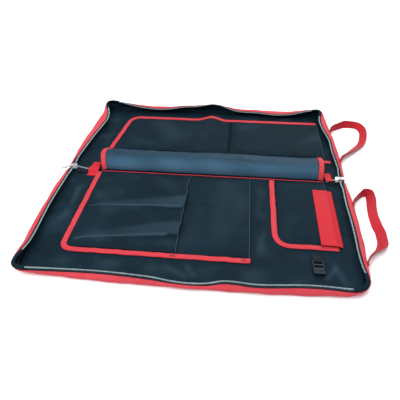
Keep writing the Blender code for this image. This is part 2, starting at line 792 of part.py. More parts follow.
def build_pocket_flap(parts):
    """The red flap: sewn to the base right of the mouth and folded back over the pocket."""
    top = POCKET_FLOOR + SIDE_POCKET_GAPE + FABRIC + CLEARANCE
    bend = SIDE_POCKET_RIGHT + CLEARANCE + FABRIC
    rise = top - POCKET_FLOOR
    profile = (
        (bend + FLAP_SEAM, POCKET_FLOOR),
        (bend + 0.56 * FLAP_SEAM, POCKET_FLOOR + 0.15 * rise),
        (bend + 0.15 * FLAP_SEAM, POCKET_FLOOR + 0.65 * rise),
        (bend - 0.37 * FLAP_BEND, top),
        (bend + FLAP_BEND - FLAP_WIDTH / 2, top),
        (bend + FLAP_BEND - FLAP_WIDTH, top),
    )
    rows = []
    for share in spread(0.0, 1.0, 3):
        y = FLAP_BACK + share * (FLAP_FRONT - FLAP_BACK)
        rows.append([Vector((x + FLAP_SKEW * (1 - share), y, z)) for x, z in profile])
    sheet("pocket_flap", oriented(rows), FABRIC, 1.0, RED_LOOK, parts)


def ridge_centre(y):
    """The crease runs from the far side toward the fold and a little left."""
    return RIDGE_PLACE - RIDGE_SPREAD * 0.5 * (BACK_POCKET_BACK - y) / (BACK_POCKET_BACK - BACK_POCKET_FRONT)


def back_ridge(x, y):
    """How far the crease lifts the back half's pocket and its binding."""
    fade = ramp(y, BACK_POCKET_FRONT + HEM, BACK_POCKET_BACK - BACK_POCKET_FRONT)
    return RIDGE_HEIGHT * fade * max(0.0, 1.0 - abs(x - ridge_centre(y)) / RIDGE_SPREAD)


def ridge_places(y):
    return [ridge_centre(y) + RIDGE_SPREAD * share for share in (-1.0, 0.0, 1.0)]


def slanted(point):
    """The back pocket's left side runs outward toward the fold."""
    toward_fold = (BACK_POCKET_BACK - point.y) / (BACK_POCKET_BACK - BACK_POCKET_FRONT)
    from_split = (BACK_POCKET_SPLIT - point.x) / (BACK_POCKET_SPLIT - BACK_POCKET_LEFT)
    shift = BACK_POCKET_SLANT * toward_fold * max(from_split, 0.0)
    return point - Vector((shift, 0.0, 0.0))


def build_back_pockets(parts):
    right = BACK_POCKET_SPLIT - SPLIT_SEAM / 2
    pocket = Pocket(BACK_POCKET_LEFT, right, BACK_POCKET_BACK, BACK_POCKET_FRONT,
                    BACK_POCKET_RADIUS, BACK_POCKET_GAPE)
    rows = []
    for y in pocket.row_places():
        left = pocket.left_end(y)
        xs = [left, left + HEM, left + HEM + POCKET_SLOPE] + ridge_places(y) + [pocket.right]
        rows.append([slanted(Vector((x, y, pocket.height(x, y) + back_ridge(x, y)))) for x in xs])
    sheet("back_left_pocket", oriented(rows), FABRIC, 1.0, FABRIC_LOOK, parts)
    start = BACK_POCKET_SPLIT + SPLIT_SEAM / 2
    rows = []
    for y in pocket.row_places():
        across = pocket.height(pocket.right, y) - POCKET_FLOOR
        xs = (start, start + HEM, start + HEM + POCKET_SLOPE, BACK_POCKET_RIGHT)
        rows.append([Vector((x, y, POCKET_FLOOR + across * share)) for x, share in zip(xs, (0, 0, 1, 1))])
    sheet("back_right_pocket", oriented(rows), FABRIC, 1.0, FABRIC_LOOK, parts)
    far = BACK_POCKET_BACK - BINDING_WIDTH / 2
    xs = ridge_places(far) + spread(ridge_places(far)[-1], BACK_POCKET_RIGHT + 0.001, 3)[1:]
    path = [slanted(point) for point in pocket.binding([0.5 * (pocket.corner_x + xs[0])] + xs, back_ridge)]
    loft("back_binding", band_rings(path, BINDING_WIDTH, BINDING_THICKNESS), RED_LOOK, parts)


def sleeve_end(x, share, bow):
    """Where the sleeve ends at a share of its arch: it bows outward at mid height."""
    return x + bow * math.sin(math.pi * share)


def sleeve_point(x, depth, height):
    rise = SLEEVE_HEIGHT - POCKET_FLOOR
    return Vector((x, SLEEVE_FRONT + SLEEVE_DEPTH * depth, POCKET_FLOOR + rise * height))


def build_centre_sleeve(parts):
    """The arched sleeve over the fold and the red binding of its two mouths."""
    rows = []
    for depth, height in SLEEVE_ARCH:
        left = sleeve_end(SLEEVE_LEFT + BINDING_WIDTH, depth, -SLEEVE_BOW)
        right = sleeve_end(SLEEVE_RIGHT - CLEARANCE, depth, SLEEVE_RIGHT_BOW)
        rows.append([sleeve_point(x, depth, height) for x in spread(left, right, 7)])
    sheet("centre_sleeve", rows, SLEEVE_THICKNESS, 1.0, SLEEVE_LOOK, parts)
    ends = (
        ("centre_left_binding", SLEEVE_LEFT + BINDING_WIDTH - CLEARANCE, SLEEVE_LEFT, -SLEEVE_BOW),
        ("centre_right_binding", SLEEVE_RIGHT + BINDING_WIDTH, SLEEVE_RIGHT, SLEEVE_RIGHT_BOW),
    )
    for name, inner, outer, bow in ends:
        rows = []
        for depth, height in SLEEVE_ARCH:
            xs = [sleeve_end(x, depth, bow) for x in spread(outer, inner, 2)]
            rows.append([sleeve_point(x, depth, height) for x in xs])
        sheet(name, rows, SLEEVE_THICKNESS + SLEEVE_EDGE, 1.0, RED_LOOK, parts)


def build_fold_trim(parts):
    """The red tapes that show round the centre sleeve."""
    front_y = SLEEVE_FRONT - SLEEVE_THICKNESS - SLEEVE_EDGE - CLEARANCE - FOLD_BINDING_WIDTH / 2
    path = [Vector((x, front_y, POCKET_FLOOR)) for x in spread(SLEEVE_LEFT, SLEEVE_RIGHT + BINDING_WIDTH, 4)]
    rings = band_rings(path, FOLD_BINDING_WIDTH, BINDING_THICKNESS)
    loft("fold_binding", rings, RED_LOOK, parts)
    tab_y = SLEEVE_FRONT + SLEEVE_DEPTH - BINDING_WIDTH / 2
    first = SLEEVE_RIGHT + BINDING_WIDTH + SLEEVE_RIGHT_BOW + CLEARANCE
    path = [Vector((x, tab_y, POCKET_FLOOR)) for x in spread(first, first + EDGE_TAB_LENGTH, 2)]
    loft("back_edge_tab", band_rings(path, BINDING_WIDTH, BINDING_THICKNESS), RED_LOOK, parts)


def slider_x(side):
    """The slider sits where the two zip edges meet over the fold's end."""
    lean = WALL_WIDTH * FRONT_WALL[0][2]
    return side * (EDGE_X - lean)


def slider_tilt(side):
    return math.radians(LEFT_SLIDER_TILT if side < 0 else RIGHT_SLIDER_TILT)


def slider_frame(side):
    """The slider's own axes: +X runs out of the bag, and tilts down with it."""
    heading = Matrix.Rotation(math.pi if side < 0 else 0.0, 4, "Z")
    tilt = Matrix.Rotation(slider_tilt(side), 4, "Y")
    return Matrix.Translation((slider_x(side), 0.0, SLIDER_HEIGHT)) @ heading @ tilt


def zip_tail(side):
    """Where the closed end of the zip starts beside its slider, and its length."""
    length = LEFT_TAIL_LENGTH if side < 0 else RIGHT_TAIL_LENGTH
    return slider_x(side) - side * (SLIDER_LENGTH / 2 + 2 * CLEARANCE), length


def build_zip_tail(side, parts):
    """The closed end of the zip that runs inward from a slider."""
    name = "left" if side < 0 else "right"
    start, length = zip_tail(side)
    level = SLIDER_HEIGHT + math.sin(slider_tilt(side)) * SLIDER_LENGTH / 2
    drop = level - TAIL_COIL_HEIGHT / 2 - TAPE_THICKNESS - CLEARANCE - POCKET_FLOOR
    tape = []
    coil = []
    for share in spread(0.0, 1.0, 4):
        x = start - side * share * length
        low = POCKET_FLOOR + drop * (1 - share) ** 2
        edge = POCKET_FLOOR + drop * 0.4 * (1 - share) ** 2
        half = TAIL_WIDTH / 2
        tape.append([Vector((x, -half, edge)), Vector((x, 0.0, low)), Vector((x, half, edge))])
        wide = TAIL_COIL_WIDTH / 2
        shape = ((-1, 0.0), (1, 0.0), (1, 0.5), (0.5, 1.0), (-0.5, 1.0), (-1, 0.5))
        floor = low + TAPE_THICKNESS + CLEARANCE
        coil.append([Vector((x, wide * a, floor + TAIL_COIL_HEIGHT * b)) for a, b in shape])
    sheet(name + "_tail_tape", oriented(tape), TAPE_THICKNESS, 1.0, TAPE_LOOK, parts)
    loft(name + "_tail_coil", coil, COIL_LOOK, parts)


def build_zip_tab(side, parts):
    """A red tab that is sewn over the zip's end and rises over the closed coil."""
    name = "left_zip_tab" if side < 0 else "right_zip_tab"
    bow = SLEEVE_BOW if side < 0 else SLEEVE_RIGHT_BOW
    sleeve_end_x = SLEEVE_LEFT if side < 0 else SLEEVE_RIGHT + BINDING_WIDTH
    inner = sleeve_end_x + side * (bow + 4 * CLEARANCE)
    start, length = zip_tail(side)
    cover = LEFT_TAB_COVER if side < 0 else RIGHT_TAB_COVER
    outer = start - side * (1 - cover) * length
    flare = LEFT_TAB_FLARE if side < 0 else 0.0
    crest = TAPE_THICKNESS + TAIL_COIL_HEIGHT + 0.0024
    shoulder = TAPE_THICKNESS + 0.0016
    tape_edge = TAIL_WIDTH / 2 + 2 * CLEARANCE
    coil_edge = TAIL_COIL_WIDTH / 2 + 2 * CLEARANCE
    profile = (
        (TAB_BACK, 0.0, 0.0), (tape_edge + 0.002, 0.0, 0.0), (tape_edge - 0.001, shoulder, 0.0),
        (coil_edge + 0.001, crest, 0.0), (-coil_edge - 0.001, crest, 0.0),
    )
    if side < 0:
        profile += (
            (-tape_edge + 0.001, shoulder, 0.0), (-tape_edge - 0.002, 0.0, 0.3), (LEFT_TAB_FRONT, 0.0, 1.0),
        )
    rows = []
    for y, rise, share in profile:
        ends = (inner, outer + side * flare * share)
        rows.append([Vector((x, y, POCKET_FLOOR + rise)) for x in sorted(ends)])
    sheet(name, oriented(rows), FABRIC, 1.0, RED_LOOK, parts)


def slider_outline():
    """A shield: wide and rounded where the two chains part, narrower at the nose."""
    half = SLIDER_LENGTH / 2
    wide = SLIDER_WIDTH / 2
    nose = SLIDER_NOSE / 2
    return [
        (half, -nose * 0.7), (half, nose * 0.7), (half * 0.72, nose), (0.0, nose * 1.08),
        (-half * 0.45, wide), (-half * 0.80, wide * 0.92), (-half, wide * 0.45),
        (-half, -wide * 0.45), (-half * 0.80, -wide * 0.92), (-half * 0.45, -wide),
        (0.0, -nose * 1.08), (half * 0.72, -nose),
    ]


def build_slider(side, parts, cutters):
    """A zip slider: two plates, the post between them and the crown that holds the pull."""
    name = "left_slider" if side < 0 else "right_slider"
    step = (SLIDER_MOUTH + SLIDER_PLATE) / 2
    body = as_mesh(flat_plate(name, [slider_outline()], SLIDER_PLATE, METAL_LOOK, parts))
    lower = as_mesh(flat_plate(name + "_lower", [slider_outline()], SLIDER_PLATE, METAL_LOOK, parts))
    post = box(name + "_post", (SLIDER_LENGTH * 0.45, SLIDER_NOSE * 0.42, SLIDER_MOUTH + SLIDER_PLATE),
               (SLIDER_LENGTH * 0.22, 0.0, -step), METAL_LOOK, parts)
    arch = bpy.data.curves.new(name + "_crown", "CURVE")
    arch.dimensions = "3D"
    arch.bevel_depth = CROWN_RADIUS
    arch.bevel_resolution = 1
    arch.use_fill_caps = True
    half = CROWN_SPAN / 2
    points = [(half, 0.0, 0.0)]
    top = CROWN_RISE - half
    points += [(half * math.cos(a), 0.0, top + half * math.sin(a)) for a in spread(0.0, math.pi, 6)]
    points.append((-half, 0.0, 0.0))
    spline = arch.splines.new("POLY")
    spline.points.add(len(points) - 1)
    for point, place in zip(spline.points, points):
        point.co = (*place, 1.0)
    crown = as_mesh(add_object(name + "_crown", arch, METAL_LOOK, parts))
    frame = slider_frame(side)
    body.matrix_world = frame @ Matrix.Translation((0.0, 0.0, step))
    offsets = (
        (lower, (0.0, 0.0, -2 * step)),
        (post, tuple(post.location)),
        (crown, (0.0, 0.0, SLIDER_PLATE / 2 - 0.0004)),
    )
    for operand, offset in offsets:
        operand.matrix_world = body.matrix_world @ Matrix.Translation(offset)
        combine(body, operand, "UNION", cutters)


def build_pull(side, parts):
    """A leaf-shaped tab whose eye goes round the crown, lying out over the wall."""
    name = "left_pull" if side < 0 else "right_pull"
    bar = PULL_BAR / 2
    wide = PULL_WIDTH / 2
    length = PULL_LENGTH
    eye_half = PULL_EYE_WIDTH / 2
    arm = eye_half + 0.0013
    half_shape = (
        (-bar, 0.0), (-bar, eye_half + 0.0004), (0.0, arm), (length * 0.26, arm),
        (length * 0.42, wide * 0.90),
        (length * 0.60, wide), (length * 0.78, wide * 0.90), (length * 0.92, wide * 0.52), (length, 0.0),
    )
    outline = list(half_shape) + [(x, -y) for x, y in half_shape[-2:0:-1]]
    end = bar + PULL_EYE_LENGTH
    eye = [(bar, -eye_half), (end - 0.001, -eye_half), (end, -eye_half * 0.5), (end, eye_half * 0.5),
           (end - 0.001, eye_half), (bar, eye_half)]
    pull = as_mesh(flat_plate(name, [outline, eye], PULL_THICKNESS, METAL_LOOK, parts))
    rise = SLIDER_MOUTH / 2 + SLIDER_PLATE + CROWN_RISE - 0.0004 - CROWN_RADIUS - 0.0016
    turn = math.radians(LEFT_PULL_TURN if side < 0 else RIGHT_PULL_TURN)
    pull.matrix_world = (
        slider_frame(side) @ Matrix.Translation((0.0, 0.0, rise))
        @ Matrix.Rotation(turn, 4, "Z") @ Matrix.Rotation(math.radians(PULL_SLOPE), 4, "Y")
    )


def build_buckle(parts, cutters):
    """A ladder buckle: a frame with two slots and a raised lip, held by a webbing loop."""
    bottom = POCKET_FLOOR + WEBBING_THICKNESS + CLEARANCE
    centre_z = bottom + BUCKLE_PLATE / 2
    back_edge = BUCKLE_BACK
    frame = box("ladder_buckle", (BUCKLE_WIDTH, BUCKLE_LENGTH, BUCKLE_PLATE),
                (BUCKLE_X, back_edge - BUCKLE_LENGTH / 2, centre_z), PLASTIC_LOOK, parts)
    slot_width = WEBBING_WIDTH + 2 * CLEARANCE
    first = back_edge - BUCKLE_BAR - BUCKLE_SLOT / 2
    second = first - BUCKLE_SLOT - BUCKLE_BAR
    for label, y in (("buckle_slot_back", first), ("buckle_slot_front", second)):
        slot = (slot_width, BUCKLE_SLOT, BUCKLE_PLATE * 3)
        cutter = box(label, slot, (BUCKLE_X, y, centre_z), PLASTIC_LOOK, parts)
        combine(frame, cutter, "DIFFERENCE", cutters)
    lip_y = back_edge - BUCKLE_LENGTH + BUCKLE_LIP / 2 - 2 * CLEARANCE
    lip = box("buckle_lip", (BUCKLE_WIDTH - 2 * CLEARANCE, BUCKLE_LIP, BUCKLE_PLATE),
              (BUCKLE_X, lip_y, centre_z + BUCKLE_LIP_RISE), PLASTIC_LOOK, parts)
    lip.rotation_euler.x = math.radians(BUCKLE_LIP_TILT)
    combine(frame, lip, "UNION", cutters)
    under = POCKET_FLOOR + WEBBING_THICKNESS / 2
    over = bottom + BUCKLE_PLATE + CLEARANCE + WEBBING_THICKNESS / 2
    bend = back_edge - BUCKLE_BAR - CLEARANCE - WEBBING_THICKNESS / 2
    loop = (
        (back_edge + 0.013, under), (back_edge, under), (bend + 0.0006, under + 0.0001),
        (bend, under + 0.0012), (bend, over - 0.0010), (bend + 0.0008, over),
        (back_edge - 0.0004, over), (back_edge + 0.005, over - 0.0020),
        (back_edge + 0.010, under + WEBBING_THICKNESS + CLEARANCE),
    )
    half = WEBBING_WIDTH / 2
    rows = [[Vector((BUCKLE_X - half, y, z)), Vector((BUCKLE_X + half, y, z))] for y, z in loop]
    sheet("buckle_webbing", rows, WEBBING_THICKNESS, 0.0, TAPE_LOOK, parts)


def wall_face(wall, y):
    """How far out the right wall's outer face bulges beside a handle's sewn end."""
    near = [part for part in wall if part.outward.x > 0.99 and abs(part.point.y - y) < 2 * HANDLE_WIDTH]
    return max(part.point.x + part.reach() for part in near)


def build_handle(name, loop, at, wall, parts):
    """A webbing handle: sewn flat on the wall at both ends, lying out on the ground between."""
    table = [(i, *row) for i, row in enumerate(loop)]
    first, last = (at + row[1] * HANDLE_REACH for row in (loop[0], loop[-1]))
    first_seat, last_seat = (wall_face(wall, y) + CLEARANCE + HANDLE_THICKNESS / 2 for y in (first, last))
    up = Vector((0.0, 0.0, 1.0))
    path = []
    for i in range(3 * (len(loop) - 1) + 1):
        out, along, rise, roll = smooth(table, i / 3)
        turn = math.radians(roll)
        lying = HANDLE_WIDTH / 2 * abs(math.sin(turn)) + HANDLE_THICKNESS / 2 * abs(math.cos(turn))
        y = at + along * HANDLE_REACH
        share = min(max((y - first) / (last - first), 0.0), 1.0)
        seat = first_seat + share * (last_seat - first_seat)
        path.append((Vector((seat + out * HANDLE_REACH, y, lying + rise * HANDLE_WIDTH)), turn))
    shape = ((-1, 0), (-0.9, -1), (0.9, -1), (1, 0), (0.9, 1), (-0.9, 1))
    rings = []
    for i, (centre, turn) in enumerate(path):
        ahead = path[min(i + 1, len(path) - 1)][0] - path[max(i - 1, 0)][0]
        side = Vector((ahead.y, -ahead.x, 0.0)).normalized()
        wide = up * math.sin(turn) - side * math.cos(turn)
        thick = side * math.sin(turn) + up * math.cos(turn)
        rings.append([
            centre + wide * (HANDLE_WIDTH / 2 * a) + thick * (HANDLE_THICKNESS / 2 * b) for a, b in shape
        ])
    loft(name, rings, RED_LOOK, parts)


def main():
    clear_scene()
    parts = make_collection("farrier_tool_bag")
    cutters = make_collection("cutters")
    back = drawn_in(half_outline(CORNER_BACK_LEFT, CORNER_BACK_RIGHT))
    front = drawn_in(mirrored(half_outline(CORNER_FRONT_LEFT, CORNER_FRONT_RIGHT)))
    build_base(back + front[::-1], parts)
    front_wall = wall_sections(FRONT_WALL, front)
    back_wall = wall_sections(BACK_WALL, back)
    build_wall("front", front_wall, parts)
    build_wall("back", back_wall, parts)
    build_front_left_pocket(parts)
    build_tool_sleeves(parts)
    build_front_right_pocket(parts)
    build_pocket_flap(parts)
    build_back_pockets(parts)
    build_centre_sleeve(parts)
    build_fold_trim(parts)
    for side in (-1, 1):
        build_slider(side, parts, cutters)
        build_pull(side, parts)
        build_zip_tail(side, parts)
        build_zip_tab(side, parts)
    build_buckle(parts, cutters)
    build_handle("front_handle", FRONT_LOOP, FRONT_HANDLE_AT, front_wall, parts)
    build_handle("back_handle", BACK_LOOP, BACK_HANDLE_AT, back_wall, parts)


main()
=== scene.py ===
"""Farrier tool bag, unzipped and lying open: its cloth, zip, trim and handles.

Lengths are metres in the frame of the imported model: +X is the side with the
handles, +Y the back half and +Z up, with the origin under the middle of the fold.
"""

import math

import bmesh
import bpy
import numpy as np
from mathutils import Matrix, Vector
from mathutils.bvhtree import BVHTree


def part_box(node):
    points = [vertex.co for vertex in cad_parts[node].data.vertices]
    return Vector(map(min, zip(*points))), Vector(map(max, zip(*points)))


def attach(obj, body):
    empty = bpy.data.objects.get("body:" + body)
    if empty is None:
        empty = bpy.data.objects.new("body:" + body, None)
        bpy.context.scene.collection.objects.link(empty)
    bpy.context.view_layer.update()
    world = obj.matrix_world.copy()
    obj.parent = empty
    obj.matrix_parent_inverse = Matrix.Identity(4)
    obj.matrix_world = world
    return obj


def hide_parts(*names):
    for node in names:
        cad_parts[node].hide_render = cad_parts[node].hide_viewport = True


bl_info = {
    "name": "Farrier Tool Bag",
    "version": (1, 0, 0),
    "blender": (4, 5, 0),
    "location": "View3D > Sidebar > Tool Bag",
    "description": "Builds the cloth, zip, trim and handles of an open farrier tool bag",
    "category": "Object",
}

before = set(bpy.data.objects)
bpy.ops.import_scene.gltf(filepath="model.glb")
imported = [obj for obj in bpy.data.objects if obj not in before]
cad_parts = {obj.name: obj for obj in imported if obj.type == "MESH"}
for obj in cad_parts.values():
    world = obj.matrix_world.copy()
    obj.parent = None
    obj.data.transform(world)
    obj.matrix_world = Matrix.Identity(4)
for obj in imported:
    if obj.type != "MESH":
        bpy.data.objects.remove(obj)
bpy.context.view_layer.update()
BODY = "bag"
PULL_BODIES = {"left_pull": "left_pull_body", "right_pull": "right_pull_body"}
UP = np.array((0.0, 0.0, 1.0))

# Thicknesses and widths of the cloth and the trim
CLOTH = 0.0010
WALL_CLOTH = 0.0016
FLAP_CLOTH = 0.0012
SLEEVE_CLOTH = 0.0014
TAPE = 0.0009
BINDING = 0.0110
BINDING_HEIGHT = 0.0026
FLOOR_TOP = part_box("base_panel")[1].z

# Distances between the points of a grid, and how far a stitch's middle lies off its cloth
GRID_STEP = 0.0035
FINE_STEP = 0.0018
SEWN_ON = 0.0002

# Points of a solid that lie nearer than this are one point
MERGE = 0.00001


def linear(code):
    """An sRGB hex colour as linear red, green and blue."""
    channels = [int(code[i:i + 2], 16) / 255 for i in (1, 3, 5)]
    return tuple(c / 12.92 if c <= 0.04045 else ((c + 0.055) / 1.055) ** 2.4 for c in channels)


def opaque(code):
    return (*linear(code), 1.0)


class ClothSettings(bpy.types.PropertyGroup):
    """Colours and weave of the bag's cloth."""

    red: bpy.props.FloatVectorProperty(
        name="Red cloth", description="Colour of the walls, the flap, the tabs and the handles",
        subtype="COLOR", size=3, min=0.0, max=1.0, default=linear("#B81F2A"))
    trim: bpy.props.FloatVectorProperty(
        name="Red trim", description="Colour of the binding",
        subtype="COLOR", size=3, min=0.0, max=1.0, default=linear("#BE363F"))
    black: bpy.props.FloatVectorProperty(
        name="Black cloth", description="Colour of the base, the pockets and the lining",
        subtype="COLOR", size=3, min=0.0, max=1.0, default=linear("#12222B"))
    # the sleeve is the black nylon: its blue-grey colour is a painted reflection of the sky
    sleeve: bpy.props.FloatVectorProperty(
        name="Sleeve cloth", description="Colour of the satin sleeve along the fold",
        subtype="COLOR", size=3, min=0.0, max=1.0, default=linear("#1F3746"))
    weave: bpy.props.FloatProperty(
        name="Weave", description="Distance between two threads, drawn coarser than the real 0.5 mm",
        subtype="DISTANCE", unit="LENGTH", default=0.0011, min=0.0003)
    wrinkle: bpy.props.FloatProperty(
        name="Wrinkles", description="Height of the cloth's soft wrinkles",
        subtype="DISTANCE", unit="LENGTH", default=0.0010, min=0.0)


class ZipSettings(bpy.types.PropertyGroup):
    """Sizes of the coil zip."""

    pitch: bpy.props.FloatProperty(
        name="Coil pitch", description="Distance between two turns of the coil",
        subtype="DISTANCE", unit="LENGTH", default=0.0012, min=0.001)
    wire: bpy.props.FloatProperty(
        name="Coil wire", description="Thickness of the coil's filament",
        subtype="DISTANCE", unit="LENGTH", default=0.0008, min=0.0003)
    coil: bpy.props.FloatVectorProperty(
        name="Coil colour", description="Colour of the silver grey coil",
        subtype="COLOR", size=3, min=0.0, max=1.0, default=linear("#97AAAF"))


class StitchSettings(bpy.types.PropertyGroup):
    """Sizes of the sewn lines."""

    pitch: bpy.props.FloatProperty(
        name="Stitch pitch", description="Distance from one stitch to the next",
        subtype="DISTANCE", unit="LENGTH", default=0.0034, min=0.001)
    length: bpy.props.FloatProperty(
        name="Stitch length", description="Length of thread that shows in one stitch",
        subtype="DISTANCE", unit="LENGTH", default=0.0025, min=0.0005)
    thread: bpy.props.FloatProperty(
        name="Thread", description="Thickness of the thread",
        subtype="DISTANCE", unit="LENGTH", default=0.0006, min=0.0001)


class StageSettings(bpy.types.PropertyGroup):
    """The camera, the floor and the lights."""

    lens: bpy.props.FloatProperty(
        name="Lens", description="Focal length on a 36 mm sensor", subtype="DISTANCE_CAMERA", default=35.39)
    place: bpy.props.FloatVectorProperty(
        name="Camera", description="Where the camera stands", subtype="TRANSLATION", unit="LENGTH",
        size=3, default=(0.0751, -0.7211, 0.5313))
    pitch: bpy.props.FloatProperty(
        name="Pitch", description="How far the camera looks down", subtype="ANGLE", unit="ROTATION",
        default=0.6905)
    yaw: bpy.props.FloatProperty(
        name="Yaw", description="How far the camera is turned to the right", subtype="ANGLE", unit="ROTATION",
        default=-0.1134)
    roll: bpy.props.FloatProperty(
        name="Roll", description="How far the camera leans to its side", subtype="ANGLE", unit="ROTATION",
        default=-0.0149)
    floor: bpy.props.FloatProperty(
        name="Floor", description="Width of the pale floor", subtype="DISTANCE", unit="LENGTH", default=12.0)


# Shader nodes

def add_node(tree, kind, settings=(), links=()):
    """Add a node, set its properties and sockets, and link its inputs."""
    node = tree.nodes.new(kind)
    for key, value in dict(settings).items():
        if isinstance(key, int) or key in node.inputs:
            node.inputs[key].default_value = value
        else:
            setattr(node, key, value)
    for key, socket in dict(links).items():
        tree.links.new(socket, node.inputs[key])
    return node


def new_finish(name, roughness, metallic=0.0, sheen=0.0, specular=0.5):
    """A material and its shader, with the values that are the same all over."""
    made = bpy.data.materials.new(name)
    made.use_nodes = True
    tree = made.node_tree
    tree.nodes.clear()
    shader = add_node(tree, "ShaderNodeBsdfPrincipled", {
        "Roughness": roughness, "Metallic": metallic, "Sheen Weight": sheen,
        "Sheen Roughness": 0.4, "Specular IOR Level": specular,
    })
    add_node(tree, "ShaderNodeOutputMaterial", links={"Surface": shader.outputs[0]})
    return made, tree, shader


def shade(colour, factor):
    return (*(min(1.0, channel * factor) for channel in colour), 1.0)


def noise(tree, coords, scale, detail=3.0, distortion=0.0):
    """Noise whose blotches are about 1 / scale metres wide."""
    return add_node(tree, "ShaderNodeTexNoise", {"Scale": scale, "Detail": detail, "Distortion": distortion},
                    {"Vector": coords}).outputs[0]


def span(tree, value, low, high, bottom=0.3, top=0.7):
    """Stretch the middle of a pattern to run from low to high."""
    return add_node(tree, "ShaderNodeMapRange", {
        "From Min": bottom, "From Max": top, "To Min": low, "To Max": high}, {"Value": value}).outputs[0]


def mix(tree, factor, first, second):
    """Blend two colours, each a socket or a plain colour."""
    node = add_node(tree, "ShaderNodeMix", {"data_type": "RGBA"}, {0: factor})
    for slot, colour in ((6, first), (7, second)):
        if isinstance(colour, tuple):
            node.inputs[slot].default_value = colour
        else:
            tree.links.new(colour, node.inputs[slot])
    return node.outputs[2]


def bands(tree, coords, direction, pitch, distortion=0.0):
    """Soft bands one pitch apart: the texture's own band is 0.314 wide at scale 1."""
    return add_node(tree, "ShaderNodeTexWave", {
        "bands_direction": direction, "Scale": math.pi / 10 / pitch, "Distortion": distortion,
        "Detail": 1.0, "Detail Scale": 2.0}, {"Vector": coords}).outputs["Fac"]


def math_node(tree, operation, first, second):
    node = add_node(tree, "ShaderNodeMath", {"operation": operation}, {0: first})
    if isinstance(second, float):
        node.inputs[1].default_value = second
    else:
        tree.links.new(second, node.inputs[1])
    return node.outputs[0]


def dent(tree, shader, height, distance):
    bump = add_node(tree, "ShaderNodeBump", {"Strength": 1.0, "Distance": distance}, {"Height": height})
    tree.links.new(bump.outputs[0], shader.inputs["Normal"])


def object_place(tree):
    return add_node(tree, "ShaderNodeTexCoord").outputs["Object"]


def cloth_place(tree):
    return add_node(tree, "ShaderNodeUVMap", {"uv_map": "cloth"}).outputs[0]


def cloud(tree, shader, pattern, dark, light, roughness=None):
    """Let the colour, and the roughness where it is given, follow a blotchy pattern."""
    tree.links.new(mix(tree, span(tree, pattern, 0.0, 1.0), dark, light), shader.inputs["Base Color"])
    if roughness:
        tree.links.new(span(tree, pattern, *roughness), shader.inputs["Roughness"])


def cloth_settings():
    return bpy.context.scene.bag_cloth


def dye(source, strength=1.0):
    """A colour from the settings, or from its hex code, at a strength."""
    colour = linear(source) if source.startswith("#") else getattr(cloth_settings(), source)
    return tuple(channel * strength for channel in colour)


WOVEN = {
    # colour, roughness, sheen, specular, relief, mottle, dust, colour of dust specks and of painted
    # highlights
    # 600 denier polyester, woven and dyed: matt, with a soft bloom at grazing angles
    "polyester_600d_red": ("red", 0.58, 0.04, 0.12, 0.00012, 0.08, 0.15, "#F0565E"),
    # the same polyester, painted paler and pinker for the sheen on the outside of the walls
    "polyester_600d_faded": ("red", 0.60, 0.04, 0.12, 0.00012, 0.10, 0.15, "#F0747C"),
    # nylon with a coating: near black, with faint dust and spots of painted sheen in a cool highlight colour
    "nylon_coated_black": ("black", 0.55, 0.0, 0.02, 0.00010, 0.25, 0.05, "#4A6272"),
    # nylon pulled smooth over the fold: the same near-black nylon, its blue-grey colour a painted reflection
    # of the sky
    "nylon_satin_blue_grey": ("sleeve", 0.40, 0.0, 0.06, 0.00007, 0.12, 0.05, "#4F7A9B"),
}
# gain and lift of red, green and blue that paint the sheen on the walls
WALL_SHEEN_LIFT = ((1.12, 0.0), (1.0, 0.034), (1.0, 0.042))


def woven(name):
    """Plain weave: warp and weft cross with painted shade between the threads, blotches vary the dye, dust
    shows faintly, and painted highlights pale the cloth.
    """
    source, roughness, sheen, specular, relief, mottle, dust, dust_and_highlight = WOVEN[name]
    colour = dye(source)
    # painted sheen: the walls' red is lifted toward pink
    if name == "polyester_600d_faded":
        colour = tuple(channel * gain + lift for channel, (gain, lift) in zip(colour, WALL_SHEEN_LIFT))
    pitch = cloth_settings().weave
    dust_and_highlight = opaque(dust_and_highlight)
    made, tree, shader = new_finish(name, roughness, sheen=sheen, specular=specular)
    uv = cloth_place(tree)
    place = object_place(tree)
    weave = math_node(tree, "MULTIPLY", bands(tree, uv, "X", pitch, 0.35), bands(tree, uv, "Y", pitch, 0.35))
    blotch = noise(tree, place, 14.0, 5.0, 0.4)
    dyed = mix(tree, span(tree, blotch, 0.0, 1.0), shade(colour, 1.0 - mottle), shade(colour, 1.0 + mottle))
    # painted shade in the valleys between the threads
    threads = mix(tree, span(tree, weave, 0.0, 0.30, 0.0, 0.7), shade(colour, 0.62), dyed)
    base = mix(tree, span(tree, weave, 0.45, 1.0, 0.0, 0.5), threads, dyed)
    grime = noise(tree, place, 60.0, 6.0, 0.8)
    dusty = mix(tree, span(tree, grime, 0.0, dust, 0.58, 0.78), base, dust_and_highlight)
    # painted light: this attribute mixes the cloth toward its highlight colour where sheen, highlights and
    # reflections are painted
    rubbed = add_node(tree, "ShaderNodeAttribute", {"attribute_name": "rubbed"}).outputs["Fac"]
    tree.links.new(mix(tree, rubbed, dusty, dust_and_highlight), shader.inputs["Base Color"])
    tree.links.new(span(tree, blotch, roughness - 0.07, roughness + 0.07), shader.inputs["Roughness"])
    fibres = math_node(tree, "MULTIPLY", noise(tree, uv, 900.0, 2.0), 0.35)
    creases = math_node(tree, "MULTIPLY", noise(tree, place, 45.0, 4.0, 0.6), 1.2)
    dent(tree, shader, math_node(tree, "ADD", math_node(tree, "ADD", weave, fibres), creases), relief)
    return made


